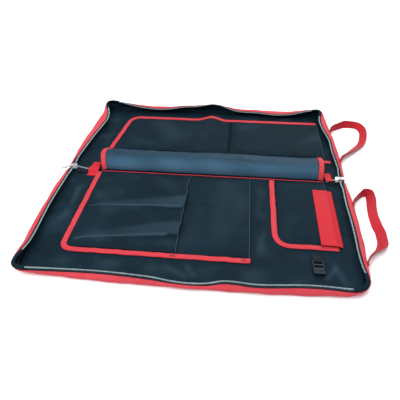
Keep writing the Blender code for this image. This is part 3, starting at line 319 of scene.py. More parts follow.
RIBBED = {
    # colour and its strength, pitch of the ribs, pitch of the finer rib along, roughness, relief
    # grosgrain binding, woven with fine cross ribs: a little shinier than the cloth
    "grosgrain_red": ("trim", 1.0, 0.0013, 0.0040, 0.50, 0.00018),
    # polypropylene webbing, woven flat: heavy cross ribs with a soft plastic shine
    "polypropylene_webbing_red": ("red", 0.86, 0.0021, 0.0032, 0.45, 0.00035),
    # polyester zip tape, woven flat: black with fine ribs
    "zip_tape_black": ("#10161B", 1.0, 0.0012, 0.0012, 0.60, 0.00014),
    # the cord and sewing inside the coil, dark between the turns
    "coil_core_grey": ("#3A444C", 1.0, 0.0022, 0.0015, 0.60, 0.00020),
}


def ribbed(name):
    """Narrow woven tape: ribs across it, a finer rib along it and painted shade in the ground between them.
    """
    source, strength, pitch, lengthwise, roughness, relief = RIBBED[name]
    colour = dye(source, strength)
    made, tree, shader = new_finish(name, roughness, sheen=0.03, specular=0.12)
    uv = cloth_place(tree)
    along = math_node(tree, "MULTIPLY", bands(tree, uv, "Y", lengthwise, 0.3), 0.5)
    ribs = math_node(tree, "ADD", bands(tree, uv, "X", pitch, 0.5), along)
    blotch = noise(tree, object_place(tree), 22.0, 4.0, 0.3)
    dyed = mix(tree, span(tree, blotch, 0.0, 1.0), shade(colour, 0.86), shade(colour, 1.12))
    # painted shade in the ground between the ribs
    base = mix(tree, span(tree, ribs, 0.0, 1.0, 0.1, 1.1), shade(colour, 0.70), dyed)
    tree.links.new(base, shader.inputs["Base Color"])
    tree.links.new(span(tree, blotch, roughness - 0.06, roughness + 0.08), shader.inputs["Roughness"])
    dent(tree, shader, ribs, relief)
    return made


THREADS = {"thread_red": "#C81C28", "thread_black": "#22303A", "thread_dark": "#0A0506"}


def thread(name):
    """Bonded polyester thread, twisted: a soft shine with fine turns."""
    made, tree, shader = new_finish(name, 0.45, sheen=0.2)
    colour = linear(THREADS[name])
    cloud(tree, shader, noise(tree, object_place(tree), 700.0, 2.0), shade(colour, 0.8), shade(colour, 1.15))
    return made


def coil_grey(name):
    """Polyester filament with a silver coat: bright, slightly uneven turns."""
    made, tree, shader = new_finish(name, 0.34, metallic=0.15, specular=0.4)
    colour = tuple(bpy.context.scene.bag_zip.coil)
    speck = noise(tree, object_place(tree), 260.0, 3.0)
    cloud(tree, shader, speck, shade(colour, 0.62), shade(colour, 1.15), (0.24, 0.42))
    return made


def plated_zinc(name):
    """Die cast zinc with nickel plate: bright, with fine scratches and dull worn patches."""
    made, tree, shader = new_finish(name, 0.32, metallic=0.7)
    place = object_place(tree)
    cloudy = noise(tree, place, 180.0, 4.0, 0.5)
    cloud(tree, shader, cloudy, opaque("#B0B4B7"), opaque("#DEE1E3"), (0.20, 0.38))
    stretched = add_node(tree, "ShaderNodeMapping", {"Scale": (90.0, 1600.0, 1600.0)}, {"Vector": place})
    dent(tree, shader, noise(tree, stretched.outputs[0], 1.0, 2.0), 0.00003)
    return made


def acetal_black(name):
    """Moulded acetal: black, slightly glossy, with the fine grain of the mould."""
    made, tree, shader = new_finish(name, 0.48, specular=0.15)
    place = object_place(tree)
    cloud(tree, shader, noise(tree, place, 90.0, 3.0), opaque("#0B141A"), opaque("#162630"), (0.42, 0.56))
    dent(tree, shader, noise(tree, place, 1400.0, 2.0), 0.00004)
    return made


FINISHES = {
    **dict.fromkeys(WOVEN, woven),
    **dict.fromkeys(RIBBED, ribbed),
    **dict.fromkeys(THREADS, thread),
    "polyester_coil_silver": coil_grey,
    "nickel_plated_zinc": plated_zinc,
    "acetal_black": acetal_black,
}


def finish(name):
    """The finish of that name, made when it is first asked for."""
    return bpy.data.materials.get(name) or FINISHES[name](name)


# Shapes

def resample(rows, step):
    """Rows of points at even steps along their common path."""
    flat = rows.reshape(len(rows), -1)
    middle = rows.reshape(len(rows), -1, 3).mean(1)
    lengths = np.concatenate([[0.0], np.cumsum(np.linalg.norm(np.diff(middle, axis=0), axis=1))])
    count = max(3, int(round(lengths[-1] / step)) + 1)
    wanted = np.linspace(0.0, lengths[-1], count)
    columns = [np.interp(wanted, lengths, flat[:, k]) for k in range(flat.shape[1])]
    return np.stack(columns, 1).reshape(count, *rows.shape[1:])


def carry(path, pointer, step, reach=0.001):
    """A path at even steps, and the pointer of each of its points, reach long."""
    both = resample(np.stack([path, path + reach * pointer], 1), step)
    return both[:, 0], both[:, 1] - both[:, 0]


def soften(rows, passes):
    """Average each row with its neighbours. The first and the last row stay."""
    rows = rows.copy()
    for _ in range(passes):
        rows[1:-1] = 0.25 * rows[:-2] + 0.5 * rows[1:-1] + 0.25 * rows[2:]
    return rows


def soften_across(rows, passes):
    return soften(rows.swapaxes(0, 1), passes).swapaxes(0, 1)


def waves(u, v, long, wide, seed, count=9):
    """Smooth irregular ripples of height about 1, of these mean lengths in u and v."""
    rng = np.random.default_rng(seed)
    total = np.zeros(np.broadcast(u, v).shape)
    for _ in range(count):
        ku = rng.normal(0.0, 1.0) / long
        kv = rng.normal(0.0, 1.0) / wide
        total += np.sin(2 * math.pi * (ku * u + kv * v) + rng.uniform(0.0, 2 * math.pi))
    return total / math.sqrt(count)


def ramp(value, width):
    """0 at 0, and smoothly 1 from width on."""
    share = np.clip(value / width, 0.0, 1.0)
    return share * share * (3 - 2 * share)


def ridge(x, y, start, end, width):
    """Height 1 along a line between two points, fading to its sides and its ends."""
    start = np.array(start)
    line = np.array(end) - start
    length = np.linalg.norm(line)
    along = ((x - start[0]) * line[0] + (y - start[1]) * line[1]) / length
    beside = ((x - start[0]) * line[1] - (y - start[1]) * line[0]) / length
    return np.exp(-(beside / width) ** 2) * ramp(along, 0.3 * length) * ramp(length - along, 0.3 * length)


def unit(vectors):
    return vectors / np.linalg.norm(vectors, axis=-1, keepdims=True)


def squared(vectors, ahead):
    """Unit vectors, turned square to the way ahead."""
    return unit(vectors - ahead * (vectors * ahead).sum(1, keepdims=True))


def normals(grid):
    """Unit normals of a grid of points."""
    across = np.gradient(grid, axis=1)
    along = np.gradient(grid, axis=0)
    found = np.cross(along, across)
    return found / np.maximum(np.linalg.norm(found, axis=2, keepdims=True), 1e-12)


def travelled(points, axis):
    """How far each point lies from the first one, along one axis of a grid."""
    steps = np.linalg.norm(np.diff(points, axis=axis), axis=2)
    zero = np.zeros_like(steps.take([0], axis=axis))
    return np.concatenate([zero, np.cumsum(steps, axis=axis)], axis=axis)


def link(name, data):
    """A new object in the scene."""
    made = bpy.data.objects.new(name, data)
    bpy.context.scene.collection.objects.link(made)
    return made


def add_piece(name, data, *materials):
    made = link(name, data)
    for material in materials:
        data.materials.append(finish(material))
    for face in data.polygons:
        face.use_smooth = True
    return made


def grid_piece(name, grid, materials, closed=False, facing=None):
    """A smooth piece through a grid of points, with a UV map in metres.

    A closed grid is a tube whose columns run right round, with caps. An open
    one is a sheet that faces the way given.
    """
    rows, columns = grid.shape[:2]
    index = np.arange(rows * columns).reshape(rows, columns)
    if closed:
        index = np.concatenate([index, index[:, :1]], 1)
        grid_uv = np.concatenate([grid, grid[:, :1]], 1)
    else:
        grid_uv = grid
    u = travelled(grid_uv.mean(1, keepdims=True), 0) * np.ones(index.shape)
    v = travelled(grid_uv, 1)
    corners = [(slice(None, -1), slice(None, -1)), (slice(None, -1), slice(1, None)),
               (slice(1, None), slice(1, None)), (slice(1, None), slice(None, -1))]
    faces = np.stack([index[c] for c in corners], -1).reshape(-1, 4)
    uv = np.stack([np.stack([u[c], v[c]], -1) for c in corners], -2).reshape(-1, 2)
    faces = faces.tolist()
    if closed:
        faces += [index[0, :-1].tolist()[::-1], index[-1, :-1].tolist()]
        ends = [np.stack([u[i, :-1], v[i, :-1]], 1) for i in (0, -1)]
        uv = np.concatenate([uv, ends[0][::-1], ends[1]])
    data = bpy.data.meshes.new(name)
    data.from_pydata(grid.reshape(-1, 3).tolist(), [], faces)
    data.uv_layers.new(name="cloth").uv.foreach_set("vector", uv.astype(np.float32).ravel())
    shape = bmesh.new()
    shape.from_mesh(data)
    if closed:
        bmesh.ops.recalc_face_normals(shape, faces=shape.faces)
    elif sum((f.normal * f.calc_area() for f in shape.faces), Vector()).dot(Vector(facing)) < 0:
        bmesh.ops.reverse_faces(shape, faces=shape.faces)
    return add_piece(name, write_out(shape, data), *materials)


def thicken(made, thickness, offset=-1.0, lining=0):
    """Give a sheet its thickness, with another material on its inner side if asked."""
    solid = made.modifiers.new("thickness", "SOLIDIFY")
    solid.thickness = thickness
    solid.offset = offset
    solid.material_offset = lining
    return made


def paint_light(made, amount):
    """Mark how much painted light (sheen, highlights and reflections) pales the cloth at each point of a
    grid.
    """
    held = made.data.attributes.new("rubbed", "FLOAT", "POINT")
    held.data.foreach_set("value", np.clip(amount, 0.0, 1.0).astype(np.float32).ravel())


def settle(made, slot, *nodes, body=BODY):
    """Fix a piece to its body and hide the solids that it stands for. The slot is not used."""
    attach(made, body)
    if nodes:
        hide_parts(*nodes)
    return made


def directions(path, up=UP):
    """The way ahead, the side and the upright at each point of a path."""
    ahead = unit(np.gradient(path, axis=0))
    side = unit(np.cross(ahead, np.broadcast_to(up, ahead.shape)))
    return ahead, side, np.cross(side, ahead)


def pill(width, height, sides=18, squareness=0.45):
    """A flat rounded profile, from its underside up."""
    angle = np.linspace(0.0, 2 * math.pi, sides, endpoint=False)
    across = np.sign(np.cos(angle)) * np.abs(np.cos(angle)) ** squareness
    upward = np.sign(np.sin(angle)) * np.abs(np.sin(angle)) ** 0.8
    return np.stack([width / 2 * across, height / 2 * (1 + upward)], 1)


def band(name, path, side, up, profile, material):
    """A closed band: a profile carried along a path."""
    grid = path[:, None] + side[:, None] * profile[None, :, :1] + up[:, None] * profile[None, :, 1:]
    return grid_piece(name, grid, [material], closed=True)


def merged(node):
    """A CAD solid's faces, with the points that they share merged."""
    shape = bmesh.new()
    shape.from_mesh(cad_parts[node].data)
    bmesh.ops.remove_doubles(shape, verts=shape.verts, dist=MERGE)
    return shape


def write_out(shape, data):
    shape.to_mesh(data)
    shape.free()
    return data


SURFACES = {}


def surface(node):
    """The faces of a CAD solid, to be looked up by rays."""
    if node not in SURFACES:
        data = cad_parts[node].data
        points = [vertex.co.copy() for vertex in data.vertices]
        SURFACES[node] = BVHTree.FromPolygons(points, [tuple(face.vertices) for face in data.polygons])
    return SURFACES[node]


def top_of(node, x, y):
    """Heights of a solid's upper face under points, or of its nearest point beside it."""
    tree = surface(node)
    down = Vector((0.0, 0.0, -1.0))
    heights = []
    for px, py in zip(np.ravel(x), np.ravel(y)):
        hit = tree.ray_cast(Vector((px, py, 1.0)), down)[0]
        if hit is None:
            hit = tree.find_nearest(Vector((px, py, FLOOR_TOP + BINDING_HEIGHT)))[0]
        heights.append(hit.z)
    return np.array(heights).reshape(np.shape(x))


def ends_of(node, y):
    """The left and the right end of a solid's outline, seen from above, along each y."""
    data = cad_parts[node].data
    points = np.array([vertex.co[:2] for vertex in data.vertices])
    pairs = points[np.array([edge.vertices[:] for edge in data.edges])]
    pairs = pairs[np.abs(pairs[:, 0, 1] - pairs[:, 1, 1]) > 1e-9]
    first, second = pairs[:, 0], pairs[:, 1]
    found = []
    for place in y:
        share = (place - first[:, 1]) / (second[:, 1] - first[:, 1])
        x = (first + (second - first) * share[:, None])[(share >= 0) & (share <= 1), 0]
        found.append((x.min(), x.max()))
    return np.array(found).T


def rings_of(node, count, order):
    """The rings of a CAD band's points, from the ring that comes first in the order given."""
    shape = merged(node)
    shape.verts.index_update()
    ring = sorted(shape.verts, key=lambda v: order(v.co))[:count]
    seen = set(ring)
    found = []
    while ring:
        found.append(np.array([v.co[:] for v in ring]))
        near = {edge.other_vert(v) for v in ring for edge in v.link_edges}
        ring = sorted(near - seen, key=lambda v: v.index)
        seen.update(ring)
        if ring and abs(len(ring) - count) > 2:
            raise RuntimeError(f"{node} has a ring of {len(ring)} points among rings of {count}")
    shape.free()
    return found


def pair_middles(ring, first):
    """The middles of the pairs of points on a sheet's two faces, from the one nearest a point on."""
    left = list(range(len(ring)))
    middles = []
    while left:
        i = left.pop(0)
        j = min(left, key=lambda k: np.linalg.norm(ring[k] - ring[i]))
        left.remove(j)
        middles.append((ring[i] + ring[j]) / 2)
    ordered = []
    near = np.array(first)
    while middles:
        k = min(range(len(middles)), key=lambda m: np.linalg.norm(middles[m] - near))
        near = middles.pop(k)
        ordered.append(near)
    return np.array(ordered)


def from_fold(co):
    """The order along a wall's band, from the fold's left end."""
    return (co.x > 0, abs(co.y))


# Geometry Nodes: what repeats along a seam or a zip

def repeat_tree(name, sizes, element):
    """A tree that puts one element at each point, turned by the point's ahead and upright."""
    tree = bpy.data.node_groups.new(name, "GeometryNodeTree")
    named = [("Points", "Geometry"), *((size, "Float") for size in sizes), ("Material", "Material")]
    for label, kind in named:
        tree.interface.new_socket(label, in_out="INPUT", socket_type="NodeSocket" + kind)
    tree.interface.new_socket("Pieces", in_out="OUTPUT", socket_type="NodeSocketGeometry")
    inputs = add_node(tree, "NodeGroupInput").outputs
    ahead, upright = (
        add_node(tree, "GeometryNodeInputNamedAttribute", {"data_type": "FLOAT_VECTOR", "Name": label})
        for label in ("ahead", "upright"))
    turned = add_node(tree, "FunctionNodeAlignRotationToVector", {"axis": "X"}, {"Vector": ahead.outputs[0]})
    levelled = add_node(tree, "FunctionNodeAlignRotationToVector", {"axis": "Z", "pivot_axis": "X"},
                        {"Rotation": turned.outputs[0], "Vector": upright.outputs[0]})
    copies = add_node(tree, "GeometryNodeInstanceOnPoints", links={
        "Points": inputs["Points"], "Instance": element(tree, inputs), "Rotation": levelled.outputs[0]})
    real = add_node(tree, "GeometryNodeRealizeInstances", links={"Geometry": copies.outputs[0]})
    smooth = add_node(tree, "GeometryNodeSetShadeSmooth", links={"Geometry": real.outputs[0]})
    painted = add_node(tree, "GeometryNodeSetMaterial", links={
        "Geometry": smooth.outputs[0], "Material": inputs["Material"]})
    add_node(tree, "NodeGroupOutput", links={0: painted.outputs[0]})
    return tree


def stitch_element(tree, inputs):
    """A stitch: a ball drawn out to the thread's length."""
    size = add_node(tree, "ShaderNodeCombineXYZ", links={
        "X": inputs["Length"], "Y": inputs["Thread"], "Z": inputs["Thread"]})
    ball = add_node(tree, "GeometryNodeMeshIcoSphere", {"Radius": 0.5, "Subdivisions": 1})
    return add_node(tree, "GeometryNodeTransform", links={
        "Geometry": ball.outputs[0], "Scale": size.outputs[0]}).outputs[0]


COIL_LEAN = math.radians(9.0)


def turn_element(tree, inputs):
    """One turn of the coil: an oval of wire that stands across the zip."""
    half = add_node(tree, "ShaderNodeMath", {"operation": "MULTIPLY", 1: 0.5}, {0: inputs["Wire"]})
    oval = add_node(tree, "GeometryNodeCurvePrimitiveCircle", {"Resolution": 10, "Radius": 0.5})
    size = add_node(tree, "ShaderNodeCombineXYZ", links={"X": inputs["Height"], "Y": inputs["Width"]})
    flat = add_node(tree, "GeometryNodeTransform", links={
        "Geometry": oval.outputs[0], "Scale": size.outputs[0]})
    stood = add_node(tree, "GeometryNodeTransform", {"Rotation": (0.0, math.pi / 2, 0.0)},
                     {"Geometry": flat.outputs[0]})
    leant = add_node(tree, "GeometryNodeTransform", {"Rotation": (0.0, 0.0, COIL_LEAN)},
                     {"Geometry": stood.outputs[0]})
    wire = add_node(tree, "GeometryNodeCurvePrimitiveCircle", {"Resolution": 5},
                    {"Radius": half.outputs[0]})
    return add_node(tree, "GeometryNodeCurveToMesh", links={
        "Curve": leant.outputs[0], "Profile Curve": wire.outputs[0]}).outputs[0]


TREES = {
    "stitch_run": (("Length", "Thread"), stitch_element),
    "coil_run": (("Width", "Height", "Wire"), turn_element),
}


def repeat(name, kind, points, ahead, upright, sizes, material):
    """Run a tree on a set of points and keep the result as a plain mesh."""
    wanted, element = TREES[kind]
    group = bpy.data.node_groups.get(kind) or repeat_tree(kind, wanted, element)
    seeds = bpy.data.meshes.new(name + "_points")
    seeds.from_pydata(points.tolist(), [], [])
    for label, values in (("ahead", ahead), ("upright", upright)):
        held = seeds.attributes.new(label, "FLOAT_VECTOR", "POINT")
        held.data.foreach_set("vector", np.asarray(values, np.float32).ravel())
    holder = link(name + "_points", seeds)
    run = holder.modifiers.new(kind, "NODES")
    run.node_group = group
    keys = {item.name: item.identifier for item in group.interface.items_tree if item.in_out == "INPUT"}
    for label in wanted:
        run[keys[label]] = sizes[label]
    run[keys["Material"]] = finish(material)
    bpy.context.view_layer.update()
    data = bpy.data.meshes.new_from_object(holder.evaluated_get(bpy.context.evaluated_depsgraph_get()))
    bpy.data.objects.remove(holder, do_unlink=True)
    data.name = name
    return link(name, data)


def wind_coil(name, node, path, up, pitch, turn):
    """Turns of wire along a path, in place of a solid coil. The turn is its width, height and wire."""
    points, upright = carry(path, up, pitch)
    turns = repeat(name, "coil_run", points, directions(points)[0], upright,
                   dict(zip(("Width", "Height", "Wire"), turn)), "polyester_coil_silver")
    settle(turns, "zip_coil", node)


SEAMS = {colour: [] for colour in THREADS}


def seam(colour, path, upright, pitch=None):
    """Remember a line of stitches, which the stitch operator sews at the end."""
    points, upright = carry(path, upright, pitch or bpy.context.scene.bag_stitch.pitch)
    SEAMS[colour].append((points, directions(points, upright)[0], upright))


def bar_tack(colour, centre, ahead, length, width, upright=UP, rows=12):
    """A block of short close stitches across a seam."""
    ahead = np.array(ahead)
    side = np.cross(ahead, upright)
    for share in np.linspace(-0.5, 0.5, rows):
        middle = np.array(centre) + ahead * (length * share)
        ends = np.array([middle - side * width / 2, middle + side * width / 2])
        seam(colour, ends, np.array([upright, upright]), width / 3)


FLOOR_CREASES = (
    # start x, start y, end x, end y, width, height
    (-0.262, -0.135, -0.268, -0.055, 0.0050, 0.0022),
    (-0.276, -0.200, -0.262, -0.120, 0.0060, 0.0012),
    (0.232, -0.285, 0.262, -0.245, 0.0040, 0.0020),
    (0.252, -0.230, 0.272, -0.300, 0.0050, 0.0018),
    (-0.050, -0.268, 0.010, -0.300, 0.0060, 0.0020),
    (-0.010, -0.258, 0.020, -0.300, 0.0045, 0.0018),
    (0.120, -0.090, 0.148, -0.030, 0.0050, 0.0010),
    (0.118, -0.240, 0.145, -0.150, 0.0060, 0.0012),
    (-0.262, 0.100, -0.250, 0.200, 0.0060, 0.0014),
    (-0.020, 0.268, 0.030, 0.295, 0.0060, 0.0020),
    (0.160, 0.268, 0.230, 0.290, 0.0060, 0.0016),
)


LIES_ON_FLOOR = (
    "front_left_binding", "front_left_pocket", "front_right_binding", "front_right_pocket", "pocket_flap",
    "back_binding", "back_left_pocket", "back_right_pocket", "centre_sleeve", "fold_binding",
    "left_zip_tab", "right_zip_tab", "left_tail_tape", "right_tail_tape", "back_edge_tab", "buckle_webbing",
)


def pocket_mask(x, y, margin):
    """1 on the open floor, and 0 under the pockets, the sleeve and the trim."""
    mask = np.ones(x.shape)
    for node in LIES_ON_FLOOR:
        low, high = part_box(node)
        over = np.hypot(np.maximum(np.maximum(low.x - x, x - high.x), 0.0),
                        np.maximum(np.maximum(low.y - y, y - high.y), 0.0))
        mask = mask * ramp(over - 0.001, margin)
    return mask


def make_base():
    """The floor of both halves: cloth over board, with soft creases where it lies bare."""
    cloth = cloth_settings()
    low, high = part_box("base_panel")
    turn = np.linspace(-1.0, 1.0, int((high.y - low.y) / GRID_STEP))
    # rows lie closer near both ends, where the outline turns its corners
    reach = turn * (1.45 - 0.45 * turn ** 2)
    y = (low.y + high.y) / 2 + reach * ((high.y - low.y) / 2 - 0.0001)
    left, right = ends_of("base_panel", y)
    share = np.linspace(0.0, 1.0, int((high.x - low.x) / 0.004))
    x = left[:, None] + (right - left)[:, None] * share[None]
    y = np.repeat(y[:, None], len(share), 1)
    rim = np.minimum(np.minimum(x - left[:, None], right[:, None] - x), np.minimum(y - low.y, high.y - y))
    mask = pocket_mask(x, y, 0.018) * ramp(rim - 0.003, 0.02)
    height = cloth.wrinkle * (0.5 * waves(x, y, 0.10, 0.08, 11) + 0.35 * waves(x, y, 0.04, 0.05, 12))
    for x0, y0, x1, y1, width, tall in FLOOR_CREASES:
        height = height + tall * ridge(x, y, (x0, y0), (x1, y1), width)
    z = high.z + mask * np.maximum(height, -0.0006)
    made = grid_piece("base_cloth", np.stack([x, y, z], 2), ["nylon_coated_black"], facing=(0, 0, 1))
    # painted light: soft patches of painted sheen, and painted highlights along the creases
    pale = 0.06 * np.maximum(waves(x, y, 0.16, 0.14, 13), 0.0)
    for x0, y0, x1, y1, width, tall in FLOOR_CREASES:
        pale = pale + 65.0 * tall * ridge(x, y, (x0, y0), (x1, y1), width * 1.3)
    paint_light(made, pale * mask)
    shape = bmesh.new()
    shape.from_mesh(made.data)
    edge = [e for e in shape.edges if e.is_boundary]
    skirt = bmesh.ops.extrude_edge_only(shape, edges=edge)["geom"]
    low_edge = [g for g in skirt if isinstance(g, bmesh.types.BMEdge) and g.is_boundary]
    for vertex in {v for e in low_edge for v in e.verts}:
        vertex.co.z = low.z
    bmesh.ops.edgeloop_fill(shape, edges=low_edge)
    bmesh.ops.recalc_face_normals(shape, faces=shape.faces)
    write_out(shape, made.data)
    settle(made, "black_nylon", "base_panel")


# points across a wall in its solid, and in its cloth
WALL_POINTS = 6
WALL_COLUMNS = 21


def wall_profiles(half):
    """Each station's points: the wall's middle from foot to edge, the tape's two edges and the coil."""
    rings = (rings_of(half + solid, count, from_fold)
             for solid, count in (("_gusset", 2 * WALL_POINTS), ("_zip_tape", 4), ("_zip_coil", 6)))
    stations = []
    for wall, tape, coil in zip(*rings):
        cloth = pair_middles(wall, wall[wall[:, 2].argmin()])
        stations.append(np.concatenate([cloth, pair_middles(tape, cloth[-1]), [coil.mean(0)]]))
    return np.array(stations)


# where the handles' ends are sewn to the walls, from and to along y
HANDLE_ENDS = ((-0.272, -0.245), (-0.120, -0.060), (0.045, 0.095), (0.195, 0.255))
SPREAD = (
    # where the wall's edge lies further out than its foot: x, y, shift in x and y, reach
    (-0.300, -0.300, -0.0045, -0.0070, 0.040),
    (-0.260, -0.300, 0.0, -0.0035, 0.080),
    (-0.300, -0.150, -0.0040, 0.0, 0.085),
    (-0.300, 0.150, -0.0065, 0.0, 0.095),
    (0.305, -0.150, 0.0045, 0.0, 0.085),
    (0.300, 0.150, 0.0040, 0.0, 0.085),
    (0.300, -0.300, 0.0060, -0.0060, 0.040),
    (-0.300, 0.300, -0.0060, 0.0040, 0.035),
    (0.300, 0.300, 0.0080, 0.0040, 0.035),
)


def spread_out(rows):
    """Lay the wall's edge further out where the open bag lets it fall back."""
    shift = np.zeros((len(rows), 1, 3))
    for x, y, along_x, along_y, reach in SPREAD:
        near = np.exp(-((rows[:, -1, 0] - x) ** 2 + (rows[:, -1, 1] - y) ** 2) / reach ** 2)[:, None, None]
        shift = shift + near * np.array((along_x, along_y, 0.0))
    raised = np.ones((1, rows.shape[1], 1))
    raised[0, :WALL_POINTS, 0] = ramp(np.arange(float(WALL_POINTS)), WALL_POINTS - 1.0) ** 3
    return rows + shift * raised


def make_wall(half):
    """One half's red wall with its black lining, the zip tape, and the coil."""
    dense = spread_out(soften(resample(wall_profiles(half), GRID_STEP), 8))
    wall = dense[:, :WALL_POINTS]
    across = np.linspace(0.0, WALL_POINTS - 1.0, WALL_COLUMNS)
    lower = np.minimum(across.astype(int), WALL_POINTS - 2)
    part = (across - lower)[None, :, None]
    wall = soften_across(wall[:, lower] * (1 - part) + wall[:, lower + 1] * part, 3)
    u = travelled(wall.mean(1, keepdims=True), 0) * np.ones(wall.shape[:2])
    t = np.linspace(0.0, 1.0, wall.shape[1])[None] * np.ones(wall.shape[:2])
    out = normals(wall)
    middle = np.array((0.0, wall[:, :, 1].mean(), 0.02))
    if ((wall - middle) * out).sum() < 0:
        out = -out
    seed = 21 if half == "front" else 31
    hold = np.sin(math.pi * np.clip(t * 0.94 + 0.03, 0, 1)) ** 0.7
    folds = 0.6 * waves(u, t * 0.03, 0.110, 0.06, seed) + 0.22 * waves(u, t * 0.03, 0.035, 0.05, seed + 1)
    pucker = 0.20 * np.exp(-((1 - t) / 0.22) ** 2) * waves(u, t, 0.012, 3.0, seed + 2)
    height = cloth_settings().wrinkle * (hold * folds + pucker)
    # two long swells, and between them the crease where the wall was folded
    height += 0.0010 * np.exp(-((t - 0.28) / 0.16) ** 2) + 0.0008 * np.exp(-((t - 0.78) / 0.13) ** 2)
    height -= 0.0010 * np.exp(-((t - 0.54 - 0.05 * waves(u, t, 0.12, 9.0, seed + 3)) / 0.07) ** 2)
    sewn = np.zeros(u.shape, bool)
    for first, last in HANDLE_ENDS:
        sewn |= (wall[:, :, 0] > 0.29) & (wall[:, :, 1] > first - 0.01) & (wall[:, :, 1] < last + 0.01)
    height = np.where(sewn, np.minimum(height, 0.0), height)
    height *= ramp(u, 0.01) * ramp(u.max() - u, 0.01)
    wall = wall + out * height[:, :, None]
    wall[:, :, 2] = np.maximum(wall[:, :, 2], WALL_CLOTH / 2)
    # the wall's outer face uses the polyester with painted sheen
    gusset = grid_piece(half + "_wall", wall, ["polyester_600d_faded", "nylon_coated_black"],
                        facing=(0, -1 if half == "front" else 1, 0.3))
    thicken(gusset, WALL_CLOTH, 0.0, lining=1)
    settle(gusset, "red_fabric", half + "_gusset")
    tall = float(travelled(wall, 1)[:, -1].mean())
    for column in (-3, 2):
        seam("thread_red", wall[:, column] + out[:, column] * (WALL_CLOTH / 2 + SEWN_ON / 2), out[:, column])
    make_zip_edge(half, dense[:, WALL_POINTS:-1], dense[:, -1])


# how far the coil is drawn out toward the wall, in the front and back, and further at the sides
DRAWN = 0.0017
DRAWN_AT_SIDES = 0.0012
COIL_WIDTH = 0.0033
COIL_HEIGHT = 0.0022
# the tape's four lines across, from the wall inward, and how much of the drawing each takes
TAPE_LINES = (-0.0004, 0.0012, 0.0026, 0.0042)
TAPE_DRAWN = (0.0, 0.5, 1.0, 1.0)


def make_zip_edge(half, tape, centre):
    """The woven tape along the wall's edge, its folded corners, the coil's core and its turns."""
    zip_sizes = bpy.context.scene.bag_zip
    ahead = directions(centre)[0]
    inward = squared(unit(centre - tape[:, -1]), ahead)
    out = np.cross(ahead, inward)
    if out[:, 2].mean() < 0:
        out = -out
    run = travelled(centre[:, None], 0)[:, 0]
    at_side = ramp(np.abs(centre[:, 0]) - 0.270, 0.02)
    from_end = np.minimum(run, run.max() - run)
    drawn = ((DRAWN + DRAWN_AT_SIDES * at_side) * ramp(from_end - 0.006, 0.03))[:, None]
    centre = centre - inward * drawn
    width = np.array([TAPE_LINES]) - drawn * np.array([TAPE_DRAWN])
    rows = tape[:, :1] + inward[:, None] * width[:, :, None]
    made = grid_piece(half + "_tape", rows, ["zip_tape_black"], facing=(0, 0, 1))
    thicken(made, TAPE, 0.0)
    settle(made, "zip_tape", half + "_zip_tape")
    seam("thread_black", tape[:, 0] + inward * 0.0012 + out * 0.0006, out)
    for x, y, _, _, reach in SPREAD:
        near = np.hypot(centre[:, 0] - x, centre[:, 1] - y) < 0.030
        if abs(y) > 0.25 and reach < 0.05 and near.any():
            first, last = np.flatnonzero(near)[[0, -1]]
            part = slice(first, last + 1)
            fold = band(f"{half}_corner_{'left' if x < 0 else 'right'}", centre[part] - out[part] * 0.0012,
                        inward[part], out[part], pill(0.0075, 0.0032, 16, 0.6), "nylon_coated_black")
            settle(fold, "zip_tape")
    core = band(half + "_coil_core", centre - out * 0.0009, inward, out, pill(0.0023, 0.0014, 10),
                "coil_core_grey")
    settle(core, "zip_tape")
    wire = zip_sizes.wire
    wind_coil(half + "_coil", half + "_zip_coil", centre, out, zip_sizes.pitch,
              (COIL_WIDTH - wire, COIL_HEIGHT - wire, wire))


# how far inside a solid's outline its grid begins
INSIDE = 0.00005


def panel_grid(node, step, rounding=4):
    """Points over a flat pocket's upper face, taken from its solid."""
    low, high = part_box(node)
    turn = -1.0 if low.y < 0 else 1.0
    near, far = (high.y, low.y) if turn < 0 else (low.y, high.y)
    count = int((high.y - low.y) / step)
    y = np.clip(np.linspace(near, far, count), low.y + INSIDE, high.y - INSIDE)
    left, right = ends_of(node, y)
    share = np.linspace(0.0, 1.0, int((high.x - low.x) / step))
    x = left[:, None] + INSIDE + (right - left - 2 * INSIDE)[:, None] * share[None]
    y = np.repeat(y[:, None], len(share), 1)
    z = top_of(node, x, y)
    edge = np.minimum(np.minimum(x - left[:, None], turn * (far - y)), turn * (y - near))
    smooth = soften_across(soften(z[:, :, None], rounding), rounding)[:, :, 0]
    return x, y, smooth, edge


def lay_pocket(name, node, seed, lift, amount, pale=None, rounding=4):
    """A pocket panel: held down along its seams, rippled and puckered beside them."""
    x, y, z, edge = panel_grid(node, GRID_STEP, rounding)
    wrinkle = cloth_settings().wrinkle * amount
    free = ramp(edge - 0.004, 0.030)
    z = z + free * wrinkle * (0.8 * waves(x, y, 0.11, 0.09, seed) + 0.4 * waves(x, y, 0.035, 0.05, seed + 1))
    beside = ramp(edge, 0.004) * (1 - ramp(edge - 0.004, 0.016))
    z = z + beside * 0.35 * wrinkle * waves(x, y, 0.010, 0.010, seed + 2)
    z = z + lift(x, y) * ramp(edge, 0.010)
    grid = np.stack([x, y, z], 2)
    made = grid_piece(name, grid, ["nylon_coated_black"], facing=(0, 0, 1))
    # painted light: soft patches of painted sheen, and the painted light given as pale, faded out toward the
    # seams
    painted_sheen_patches = 0.06 * np.maximum(waves(x, y, 0.13, 0.16, seed + 3), 0.0)
    paint_light(made, (painted_sheen_patches + (0.0 if pale is None else pale(x, y))) * free)
    thicken(made, CLOTH)
    settle(made, "black_nylon", node)
    return grid


# how pale a hem's painted highlight is
HEM_HIGHLIGHT = 0.35


